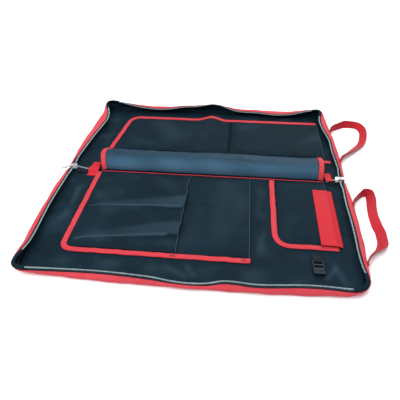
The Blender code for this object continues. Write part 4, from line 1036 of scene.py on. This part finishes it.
def hem(name, edge, width=0.0016, thick=0.0008):
    """The folded edge of a pocket's mouth, open to the right, with a painted highlight along its fold."""
    path = soften(resample(edge, 0.003), 2)
    _, side, up = directions(path)
    if side[:, 0].sum() > 0:
        side = -side
    made = band(name, path + side * (width / 2 - 0.0006) - up * thick * 0.75, side, up,
                pill(width, thick * 1.5, 12, 0.35), "nylon_coated_black")
    # painted highlight along the hem's fold
    paint_light(made, np.full(len(made.data.vertices), HEM_HIGHLIGHT))
    settle(made, "black_nylon")


PLEATS = (
    # the lip's left and right end in x and y, and how far the pleat opens behind its right end
    (-0.226, -0.134, -0.031, -0.128, 0.040),
    (-0.228, -0.228, -0.048, -0.210, 0.042),
)


def from_lip(x, y, x0, y0, x1, y1):
    """How far along a pleat's lip each point lies, as a share, and how far behind the lip."""
    share = np.clip((x - x0) / (x1 - x0), 0.0, 1.0)
    return share, y - (y0 + (y1 - y0) * share)


def pleat_lift(x, y):
    """How far each pleat stands up behind its lip."""
    lift = np.zeros(x.shape)
    for *lip, opened in PLEATS:
        share, behind = from_lip(x, y, *lip)
        fall = 1 - ramp(behind, 0.004 + opened * share)
        lift = np.maximum(lift, (0.0006 + 0.0042 * share) * ramp(behind + 0.0012, 0.0018) * fall)
    return lift


def pleat_light(x, y):
    """Where light catches the tool sleeves: on each pleat's lip and on the lifted cloth behind it."""
    pale = 0.05 * np.maximum(waves(x, y, 0.12, 0.10, 47), 0.0)
    for *lip, opened in PLEATS:
        share, behind = from_lip(x, y, *lip)
        folded = np.exp(-((behind - 0.0010) / 0.0013) ** 2)
        pale = pale + (0.22 + 0.25 * share) * folded * ramp(lip[2] + 0.004 - x, 0.004)
        fall = 1 - ramp(behind - opened * share * 0.75, 0.004 + 0.3 * opened * share)
        pale = pale + 0.14 * share * ramp(behind, 0.004) * fall
    return pale


def make_front_left_pocket():
    """The large pocket, the three pleated tool sleeves on it, and their hems."""

    def open_part(x, y):
        return ramp(x + 0.018, 0.02) * (0.0012 * ridge(x, y, (0.048, -0.012), (0.035, -0.215), 0.006))

    # painted light in a soft band near the pocket's open part
    def open_light(x, y):
        return 0.07 * np.exp(-((x - 0.052) / 0.028) ** 2) * ramp(-y - 0.03, 0.06) * ramp(0.22 + y, 0.05)

    grid = lay_pocket("front_left_pocket_cloth", "front_left_pocket", 41, open_part, 0.5, open_light)
    hem("front_left_pocket_hem", grid[:, -1])
    x, y, z, edge = panel_grid("tool_sleeves", FINE_STEP, 60)
    z = z + pleat_lift(x, y) * ramp(edge, 0.006)
    wrinkle = cloth_settings().wrinkle
    z = z + ramp(edge - 0.008, 0.03) * wrinkle * np.maximum(0.6 * waves(x, y, 0.14, 0.06, 44), -0.3)
    x = x - 0.0012 * ramp(x + 0.045, 0.02) * waves(0 * x, y, 1.0, 0.035, 46)
    grid = np.stack([x, y, z], 2)
    made = grid_piece("tool_sleeve_cloth", grid, ["nylon_coated_black"], facing=(0, 0, 1))
    paint_light(made, pleat_light(x, y) * ramp(edge - 0.006, 0.012))
    thicken(made, CLOTH)
    settle(made, "black_nylon", "tool_sleeves")
    hem("tool_sleeve_hem", grid[:, -1], 0.0014, 0.0009)


def make_front_right_pocket():
    """The smaller pocket and the red flap over its mouth."""
    grid = lay_pocket("front_right_pocket_cloth", "front_right_pocket", 51,
                      lambda x, y: 0.0010 * ridge(x, y, (0.200, -0.030), (0.215, -0.165), 0.008), 0.5)
    hem("front_right_pocket_hem", grid[:, -1])
    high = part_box("pocket_flap")[1]
    x, y, z, _ = panel_grid("pocket_flap", FINE_STEP, 2)
    middle = z.shape[1] // 2
    level = z[:, middle][:, None] - 0.0006
    fallen = 0.0028 * np.linspace(-1.0, 1.0, z.shape[1])[None] ** 2
    z = np.where(x > x[:, middle][:, None], np.maximum(z, level - fallen), z)
    ripples = 0.35 * (waves(x, y, 0.05, 0.06, 53) + 0.6) * ramp(high.x - x - 0.006, 0.01)
    z = z + cloth_settings().wrinkle * ripples
    grid = np.stack([x, y, z], 2)
    flap = grid_piece("pocket_flap_cloth", grid, ["polyester_600d_red"], facing=(0, 0, 1))
    thicken(flap, FLAP_CLOTH)
    settle(flap, "red_fabric", "pocket_flap")
    lines = (("thread_dark", grid[:, 2], 0.0110), ("thread_red", grid[2, 2:-4], None),
             ("thread_red", grid[-3, 2:-4], None))
    for colour, line, pitch in lines:
        seam(colour, line + UP * SEWN_ON, np.broadcast_to(UP, line.shape), pitch)


def make_back_pockets():
    """The two long pockets of the back half."""
    lay_pocket("back_left_pocket_cloth", "back_left_pocket", 61,
               lambda x, y: 0.0008 * ridge(x, y, (-0.120, 0.110), (-0.100, 0.240), 0.008), 0.6, rounding=6)
    grid = lay_pocket("back_right_pocket_cloth", "back_right_pocket", 64,
                      lambda x, y: 0.0010 * ridge(x, y, (0.170, 0.110), (0.150, 0.240), 0.009), 0.6)
    hem("back_right_pocket_hem", grid[:, -1])


def bound_path(node):
    """The middle of a pocket's binding, from the fold on, between the pairs of points on its top."""
    shape = merged(node)
    shape.normal_update()
    top = np.array([vertex.co[:] for vertex in shape.verts if vertex.normal.z > 0.7])
    shape.free()
    # the top face of the solid is this share of the binding's width
    off = np.abs(np.linalg.norm(top[:, None] - top[None], axis=2) - 0.64 * BINDING)
    partner = off.argmin(1)
    pairs = [(i, j) for i, j in enumerate(partner) if i < j and partner[j] == i and off[i, j] < 0.0003]
    left = [(top[i] + top[j]) / 2 for i, j in pairs]
    near = min(left, key=lambda point: abs(point[1]))
    path = []
    while left:
        k = min(range(len(left)), key=lambda m: np.linalg.norm(left[m] - near))
        near = left.pop(k)
        path.append(near)
    return soften(resample(np.array(path) - UP * BINDING_HEIGHT, 0.0025), 3)


def straight_path(node, count):
    """Points from left to right under the middle of a solid."""
    low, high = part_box(node)
    x = np.linspace(low.x, high.x, count)
    return np.stack([x, np.full(x.shape, (low.y + high.y) / 2), np.full(x.shape, low.z)], 1)


def lay_binding(node, path, seed):
    """Binding tape along a path, a little uneven, with a line of stitches near each edge."""
    length = travelled(path[:, None], 0)[:, 0]
    _, side, up = directions(path)
    path = path + up * (0.00012 * waves(length, 0 * length, 0.018, 1.0, seed))[:, None]
    path = path + side * (0.00035 * waves(length, 0 * length, 0.040, 1.0, seed + 1))[:, None]
    made = band(node + "_tape", path, side, up, pill(BINDING, BINDING_HEIGHT), "grosgrain_red")
    settle(made, "red_binding", node)
    for offset in (-0.0034, 0.0034):
        seam("thread_red", path + side * offset + up * (BINDING_HEIGHT - SEWN_ON / 2), up)


# where bar tacks hold the pocket's binding at the mouths of the tool sleeves and of the pocket
TACKS = (-0.030, 0.098)


def make_bindings():
    """The red tape round the pockets, with the bar tacks that hold the tool sleeves."""
    path = bound_path("front_left_binding")
    lay_binding("front_left_binding", path, 71)
    top = path[-1][2] + BINDING_HEIGHT
    for x in TACKS:
        bar_tack("thread_dark", (x, path[-1][1], top), (1.0, 0.0, 0.0), 0.0095, 0.0040)
    lay_binding("front_right_binding", bound_path("front_right_binding"), 74)
    lay_binding("back_binding", bound_path("back_binding"), 77)
    path = straight_path("fold_binding", 200)
    path[:, 1] += 0.0002 * waves(path[:, 0], 0 * path[:, 0], 0.03, 1.0, 81)
    _, side, up = directions(path)
    # only the back of this binding shows under the sleeve
    path[:, 1] += 0.0008
    made = band("fold_binding_tape", path, side, up, pill(0.0022, TAPE, 14), "grosgrain_red")
    settle(made, "red_binding", "fold_binding")
    lay_binding("back_edge_tab", straight_path("back_edge_tab", 12), 84)


def sleeve_arch(count):
    """The outer face of the sleeve's arch at the middle of the fold, foot to foot."""
    low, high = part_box("centre_sleeve")
    centre = Vector((0.0, (low.y + high.y) / 2, low.z))
    tree = surface("centre_sleeve")
    points = []
    for angle in np.linspace(math.radians(176.0), math.radians(4.0), count):
        way = Vector((0.0, math.cos(angle), math.sin(angle)))
        hit = tree.ray_cast(centre + way * 0.2, -way)[0]
        points.append((hit.y, hit.z))
    return soften(np.array(points), 3)


# how far the sleeve's left and right mouths bow out over its crown
SLEEVE_BOW = 0.010
SLEEVE_RIGHT_BOW = 0.003
SLEEVE_CREASES = (
    # from and to, along the fold and across the sleeve, and depth
    ((-0.060, 0.020), (0.020, 0.045), 0.0012),
    ((0.060, 0.050), (0.150, 0.022), 0.0012),
    ((-0.190, 0.040), (-0.120, 0.018), 0.0010),
)


def make_sleeve():
    """The satin sleeve over the fold, dented softly, and the red binding of its mouths."""
    arch = sleeve_arch(44)
    low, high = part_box("centre_sleeve")
    t = np.linspace(0.0, 1.0, len(arch))
    bow = np.sin(math.pi * t)
    left = low.x + SLEEVE_BOW - SLEEVE_BOW * bow
    right = high.x - SLEEVE_RIGHT_BOW + SLEEVE_RIGHT_BOW * bow
    share = np.linspace(0.0, 1.0, int((high.x - low.x) / GRID_STEP))
    x = left[None] + (right - left)[None] * share[:, None]
    grid = np.stack([x, np.broadcast_to(arch[:, 0], x.shape), np.broadcast_to(arch[:, 1], x.shape)], 2)
    out = normals(grid)
    if out[:, len(arch) // 2, 2].mean() < 0:
        out = -out
    v = t[None] * 0.11 * np.ones(x.shape)
    hold = np.sin(math.pi * t[None]) ** 0.6 * ramp(share[:, None], 0.05) * ramp(1 - share[:, None], 0.05)
    dents = 0.0011 * waves(x, v, 0.16, 0.10, 91) + 0.0006 * waves(x, v, 0.055, 0.05, 92)
    creases = -sum(depth * ridge(x, v, start, end, 0.004) for start, end, depth in SLEEVE_CREASES)
    pucker = 0.00035 * np.exp(-(v / 0.012) ** 2) * waves(x, v, 0.014, 1.0, 93)
    grid = grid + out * ((dents + creases) * hold + pucker)[:, :, None]
    grid[:, :, 2] = np.maximum(grid[:, :, 2], low.z + 0.0002)
    # painted reflection: the sleeve's blue-grey colour stands for the sky mirrored in black nylon
    made = grid_piece("centre_sleeve_cloth", grid, ["nylon_satin_blue_grey"], facing=(0, -0.2, 1))
    # light lies along the front of the arch
    lit = np.exp(-((grid[:, :, 1] - low.y - 0.013) / 0.016) ** 2)
    paint_light(made, 0.20 * lit * (1 + 0.25 * waves(x, v, 0.12, 0.2, 94)))
    thicken(made, SLEEVE_CLOTH)
    settle(made, "sleeve_nylon", "centre_sleeve")
    seam("thread_black", grid[:, 2] + out[:, 2] * SEWN_ON, out[:, 2])
    ends = (("centre_left_binding", 0, -SLEEVE_BOW, 1.0),
            ("centre_right_binding", -1, SLEEVE_RIGHT_BOW, -1.0))
    for node, last, reach, inward in ends:
        face = out[last]
        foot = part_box(node)[last].x - reach
        middle = np.stack([foot + reach * bow + inward * BINDING / 2, arch[:, 0], arch[:, 1]], 1)
        path, up = carry(middle - face * 0.0020, face, 0.003, 1.0)
        side = np.cross(directions(path)[0], up)
        tape = band(node + "_tape", path, side, up, pill(BINDING, 0.0030), "grosgrain_red")
        settle(tape, "red_binding", node)
        for offset in (-0.0033, 0.0033):
            seam("thread_red", path + side * offset + up * 0.0029, up)


def soft_copy(node, name, material, slot, cuts=3, passes=2, bend=0.0):
    """A solid with its faces divided and rounded, for small cloth tabs."""
    shape = merged(node)
    bmesh.ops.join_triangles(shape, faces=shape.faces, angle_face_threshold=0.05, angle_shape_threshold=0.7)
    bmesh.ops.subdivide_edges(shape, edges=shape.edges, cuts=cuts, use_grid_fill=True)
    for _ in range(passes):
        bmesh.ops.smooth_vert(shape, verts=shape.verts, factor=0.35, use_axis_x=True, use_axis_y=True,
                              use_axis_z=True)
    layer = shape.loops.layers.uv.new("cloth")
    for face in shape.faces:
        for loop in face.loops:
            loop[layer].uv = (loop.vert.co.x, loop.vert.co.y)
    for vertex in shape.verts:
        lift = bend * float(waves(np.array(vertex.co.x), np.array(vertex.co.y), 0.02, 0.02, 1))
        vertex.co.z += max(lift, 0.0)
    data = write_out(shape, bpy.data.meshes.new(name))
    return settle(add_piece(name, data, material), slot, node)


def hard_copy(node, name, material, slot, bevel, body=BODY):
    """A moulded or cast solid with its edges rounded."""
    shape = merged(node)
    bmesh.ops.dissolve_limit(shape, angle_limit=math.radians(1.0), verts=shape.verts, edges=shape.edges)
    made = add_piece(name, write_out(shape, bpy.data.meshes.new(name)), material)
    edge = made.modifiers.new("edges", "BEVEL")
    edge.width = bevel
    edge.segments = 2
    edge.limit_method = "ANGLE"
    edge.angle_limit = math.radians(25.0)
    edge.use_clamp_overlap = True
    made.data.set_sharp_from_angle(angle=math.radians(50.0))
    return settle(made, slot, node, body=body)


# the closed zip: both coils interlock, so its turns lie closer and look finer than those of the open one
TAIL_WIDTH = 0.0050
TAIL_HEIGHT = 0.0026
TAIL_PITCH = 0.55
TAIL_WIRE = 0.6
# x from which each tab is widened toward the right
TAB_WIDENS = {"left": -0.252, "right": 0.279}


def make_zip_ends():
    """The sliders, their pulls, the closed ends of the zip and the tabs over them."""
    zip_sizes = bpy.context.scene.bag_zip
    wire = TAIL_WIRE * zip_sizes.wire
    for side in ("left", "right"):
        hard_copy(side + "_slider", side + "_slider_cast", "nickel_plated_zinc", "zip_metal", 0.0005)
        hard_copy(side + "_pull", side + "_pull_cast", "nickel_plated_zinc", "zip_metal", 0.00035,
                  PULL_BODIES[side + "_pull"])
        low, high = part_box(side + "_tail_coil")
        x = np.linspace(low.x, high.x, 40)
        y = np.zeros(x.shape)
        # rays miss the coil's very ends, so its height there is read a little further in
        top = top_of(side + "_tail_coil", x * 0.998, y)
        path = np.stack([x, y, top - TAIL_HEIGHT / 2], 1)
        _, across, up = directions(path)
        core = band(side + "_tail_core", path - up * 0.0012, across, up, pill(0.0044, 0.0020, 10),
                    "coil_core_grey")
        settle(core, "zip_tape")
        wind_coil(side + "_tail_turns", side + "_tail_coil", path, up, zip_sizes.pitch * TAIL_PITCH,
                  (TAIL_WIDTH - zip_sizes.wire, TAIL_HEIGHT - wire, wire))
        soft_copy(side + "_tail_tape", side + "_tail_tape_cloth", "zip_tape_black", "zip_tape")
        tab = soft_copy(side + "_zip_tab", side + "_zip_tab_cloth", "polyester_600d_red", "red_fabric",
                        bend=0.0004)
        for vertex in tab.data.vertices:
            widened = ramp(np.array(vertex.co.x - TAB_WIDENS[side]), 0.003)
            if side == "left":
                front = ramp(np.array(-0.004 - vertex.co.y), 0.02)
                widened = widened * ramp(0.020 - vertex.co.y, 0.02) + 1.1 * front * (1 - widened)
                vertex.co.y += 0.0035 * float(front)
            vertex.co.x += 0.0055 * float(widened)


def make_buckle():
    """The ladder buckle and the webbing loop that holds it."""
    hard_copy("ladder_buckle", "ladder_buckle_moulded", "acetal_black", "black_plastic", 0.0005)
    soft_copy("buckle_webbing", "buckle_webbing_loop", "zip_tape_black", "zip_tape", cuts=2, passes=1)


HANDLES = {
    # how far the front and the back end stop short of the solid's, how far the loop reaches from the wall
    # and along it as shares of the solid's, and the place along the wall that stays
    "front_handle": (0.012, 0.004, 0.93, 0.94, -0.060),
    "back_handle": (0.014, 0.002, 1.13, 0.98, 0.230),
}
HANDLE_FOOT = 0.316
HANDLE_STEP = 0.0028
WEBBING = 0.0193
WEBBING_HEIGHT = 0.0019
# half the width of the box of stitches at each end, and the rows of the handle that it covers
HANDLE_SEAM = 0.0072
SEAM_ROWS = 6


def make_handles():
    """The two webbing handles, with their ends sewn to the wall by a box of stitches."""
    for node, (first_cut, last_cut, reach, along, still) in HANDLES.items():
        rings = rings_of(node, 6, lambda co: co.y)
        middles = np.array([ring.mean(0) for ring in rings])
        centre = []
        wide = []
        for ring, middle, ahead in zip(rings, middles, directions(middles)[0]):
            spread = ring - middle
            spread -= np.outer(spread @ ahead, ahead)
            axis = np.linalg.svd(spread)[2][0]
            before = wide[-1] if wide else UP
            wide.append(axis if axis @ before > 0 else -axis)
            centre.append(middle + axis * ((spread @ axis).max() + (spread @ axis).min()) / 2)
        rows = soften(resample(np.stack([centre, np.array(centre) + wide], 1), HANDLE_STEP), 6)
        rows = rows[round(first_cut / HANDLE_STEP):len(rows) - round(last_cut / HANDLE_STEP)]
        path = rows[:, 0]
        wide = rows[:, 1] - rows[:, 0]
        length = travelled(path[:, None], 0)[:, 0]
        close = 1 - ramp(np.minimum(length, length.max() - length), 0.035)
        path = path - np.array((0.0045, 0.0, 0.0)) * close[:, None]
        path[:, 0] = HANDLE_FOOT + (path[:, 0] - HANDLE_FOOT) * reach
        path[:, 1] = still + (path[:, 1] - still) * along
        ahead = directions(path)[0]
        wide = squared(wide, ahead)
        face = np.cross(wide, ahead)
        if face[2, 0] < 0:
            face = -face
        length = travelled(path[:, None], 0)[:, 0]
        profile = pill(WEBBING, WEBBING_HEIGHT, 22, 0.28)
        profile[:, 1] -= WEBBING_HEIGHT / 2
        curl = 0.0007 * waves(length, 0 * length, 0.10, 1.0, 101)
        curl *= ramp(np.minimum(length, length.max() - length), 0.05)
        grid = path[:, None] + wide[:, None] * profile[None, :, :1] + face[:, None] * profile[None, :, 1:]
        grid += face[:, None] * (curl[:, None] * (profile[None, :, 0] / 0.0097) ** 2)[:, :, None]
        grid[:, :, 2] = np.maximum(grid[:, :, 2], 0.0001)
        made = grid_piece(node + "_webbing", grid, ["polypropylene_webbing_red"], closed=True)
        settle(made, "red_webbing", node)
        for first, last in ((0, SEAM_ROWS), (len(path) - SEAM_ROWS - 1, len(path) - 1)):
            sewn = slice(first, last)
            top = path[sewn] + face[sewn] * (WEBBING_HEIGHT / 2 + 0.00015)
            for offset in (-HANDLE_SEAM, HANDLE_SEAM):
                seam("thread_red", top + wide[sewn] * offset, face[sewn])
            for offset in (-HANDLE_SEAM, HANDLE_SEAM):
                corners = [top[0] + wide[first] * offset, top[-1] - wide[last] * offset]
                seam("thread_red", np.array(corners), face[[first, last]])


def sew_seams():
    """Every remembered line of stitches, one mesh for each thread."""
    sizes = bpy.context.scene.bag_stitch
    for colour, runs in SEAMS.items():
        points, ahead, upright = (np.concatenate([run[k] for run in runs]) for k in range(3))
        made = repeat("stitches_" + colour.split("_")[1], "stitch_run", points, ahead, upright,
                      {"Length": sizes.length, "Thread": sizes.thread}, colour)
        settle(made, "red_binding" if colour == "thread_red" else "zip_tape")


FLOOR_LEVEL = -0.0003
SOFTBOXES = (
    # name, place, what it points at, size, power
    ("front_softbox", (-0.9, -1.1, 1.7), (0.0, 0.0, 0.0), 1.4, 40.0),
    ("back_softbox", (0.6, 1.6, 1.5), (0.0, 0.1, 0.0), 1.6, 30.0),
    ("top_softbox", (0.0, 0.0, 2.4), (0.0, 0.0, 0.0), 2.0, 26.0),
)


def make_stage():
    """The pale floor, the soft lights and the camera at the photo's angle."""
    stage = bpy.context.scene.bag_stage
    data = bpy.data.meshes.new("floor")
    corners = [(x, y, FLOOR_LEVEL) for x, y in ((-0.5, -0.5), (0.5, -0.5), (0.5, 0.5), (-0.5, 0.5))]
    data.from_pydata([(x * stage.floor, y * stage.floor, z) for x, y, z in corners], [], [(0, 1, 2, 3)])
    floor = link("floor", data)
    made, _, shader = new_finish("pale_floor", 0.9, specular=0.1)
    shader.inputs["Base Color"].default_value = opaque("#F6F7F8")
    data.materials.append(made)
    world = bpy.data.worlds.new("soft_room")
    world.use_nodes = True
    background = world.node_tree.nodes["Background"]
    background.inputs["Color"].default_value = opaque("#FBFCFF")
    background.inputs["Strength"].default_value = 0.62
    bpy.context.scene.world = world
    bpy.context.scene.view_settings.view_transform = "Standard"
    for name, place, aim, size, power in SOFTBOXES:
        lamp = bpy.data.lights.new(name, "AREA")
        lamp.size = size
        lamp.energy = power
        holder = link(name, lamp)
        holder.location = place
        holder.rotation_euler = (Vector(aim) - Vector(place)).to_track_quat("-Z", "Y").to_euler()
    camera = bpy.data.cameras.new("camera")
    camera.lens = stage.lens
    camera.sensor_width = 36.0
    level = math.cos(stage.pitch)
    forward = Vector((math.sin(stage.yaw) * level, math.cos(stage.yaw) * level, -math.sin(stage.pitch)))
    right = Vector((math.cos(stage.yaw), -math.sin(stage.yaw), 0.0))
    up = right.cross(forward)
    turned_right = right * math.cos(stage.roll) + up * math.sin(stage.roll)
    turned_up = up * math.cos(stage.roll) - right * math.sin(stage.roll)
    turn = Matrix((turned_right, turned_up, -forward)).transposed().to_4x4()
    holder = link("camera", camera)
    holder.matrix_world = Matrix.Translation(stage.place) @ turn
    bpy.context.scene.camera = holder


class BAG_OT_stage(bpy.types.Operator):
    """Set up the floor, the lights and the camera"""

    bl_idname = "bag.stage"
    bl_label = "Stage"

    def execute(self, context):
        make_stage()
        return {"FINISHED"}


class BAG_OT_base(bpy.types.Operator):
    """Lay the black base of both halves"""

    bl_idname = "bag.base"
    bl_label = "Base"

    def execute(self, context):
        make_base()
        return {"FINISHED"}


class BAG_OT_walls(bpy.types.Operator):
    """Raise the red walls and run the zip along their edges"""

    bl_idname = "bag.walls"
    bl_label = "Walls and zip"

    def execute(self, context):
        make_wall("front")
        make_wall("back")
        return {"FINISHED"}


class BAG_OT_pockets(bpy.types.Operator):
    """Lay the pockets, the tool sleeves and the flap"""

    bl_idname = "bag.pockets"
    bl_label = "Pockets"

    def execute(self, context):
        make_front_left_pocket()
        make_front_right_pocket()
        make_back_pockets()
        return {"FINISHED"}


class BAG_OT_bindings(bpy.types.Operator):
    """Bind the pockets' edges with red tape"""

    bl_idname = "bag.bindings"
    bl_label = "Bindings"

    def execute(self, context):
        make_bindings()
        return {"FINISHED"}


class BAG_OT_sleeve(bpy.types.Operator):
    """Arch the satin sleeve over the fold"""

    bl_idname = "bag.sleeve"
    bl_label = "Centre sleeve"

    def execute(self, context):
        make_sleeve()
        return {"FINISHED"}


class BAG_OT_zip_ends(bpy.types.Operator):
    """Add the sliders, the pulls and the tabs at the fold's ends"""

    bl_idname = "bag.zip_ends"
    bl_label = "Zip ends"

    def execute(self, context):
        make_zip_ends()
        return {"FINISHED"}


class BAG_OT_buckle(bpy.types.Operator):
    """Add the ladder buckle and its webbing"""

    bl_idname = "bag.buckle"
    bl_label = "Buckle"

    def execute(self, context):
        make_buckle()
        return {"FINISHED"}


class BAG_OT_handles(bpy.types.Operator):
    """Lay the two webbing handles"""

    bl_idname = "bag.handles"
    bl_label = "Handles"

    def execute(self, context):
        make_handles()
        return {"FINISHED"}


class BAG_OT_stitches(bpy.types.Operator):
    """Sew every seam that the other steps have marked"""

    bl_idname = "bag.stitches"
    bl_label = "Stitches"

    def execute(self, context):
        sew_seams()
        return {"FINISHED"}


OPERATORS = (BAG_OT_stage, BAG_OT_base, BAG_OT_walls, BAG_OT_pockets, BAG_OT_bindings, BAG_OT_sleeve,
             BAG_OT_zip_ends, BAG_OT_buckle, BAG_OT_handles, BAG_OT_stitches)
SETTINGS = {"bag_cloth": ClothSettings, "bag_zip": ZipSettings, "bag_stitch": StitchSettings,
            "bag_stage": StageSettings}


class BAG_PT_panel(bpy.types.Panel):
    """Lists the bag's settings and its steps"""

    bl_idname = "BAG_PT_panel"
    bl_label = "Tool Bag"
    bl_space_type = "VIEW_3D"
    bl_region_type = "UI"
    bl_category = "Tool Bag"

    def draw(self, context):
        for name, group in SETTINGS.items():
            box = self.layout.box()
            for key in group.__annotations__:
                box.prop(getattr(context.scene, name), key)
        for operator in OPERATORS:
            self.layout.operator(operator.bl_idname)


def register():
    for group in SETTINGS.values():
        bpy.utils.register_class(group)
    for name, group in SETTINGS.items():
        setattr(bpy.types.Scene, name, bpy.props.PointerProperty(type=group))
    for operator in OPERATORS:
        bpy.utils.register_class(operator)
    bpy.utils.register_class(BAG_PT_panel)


def unregister():
    bpy.utils.unregister_class(BAG_PT_panel)
    for operator in reversed(OPERATORS):
        bpy.utils.unregister_class(operator)
    for name, group in SETTINGS.items():
        delattr(bpy.types.Scene, name)
        bpy.utils.unregister_class(group)


def main():
    """Build every piece in order."""
    register()
    for operator in OPERATORS:
        group, step = operator.bl_idname.split(".")
        getattr(getattr(bpy.ops, group), step)()
    bpy.context.view_layer.update()


if __name__ == "__main__":
    main()
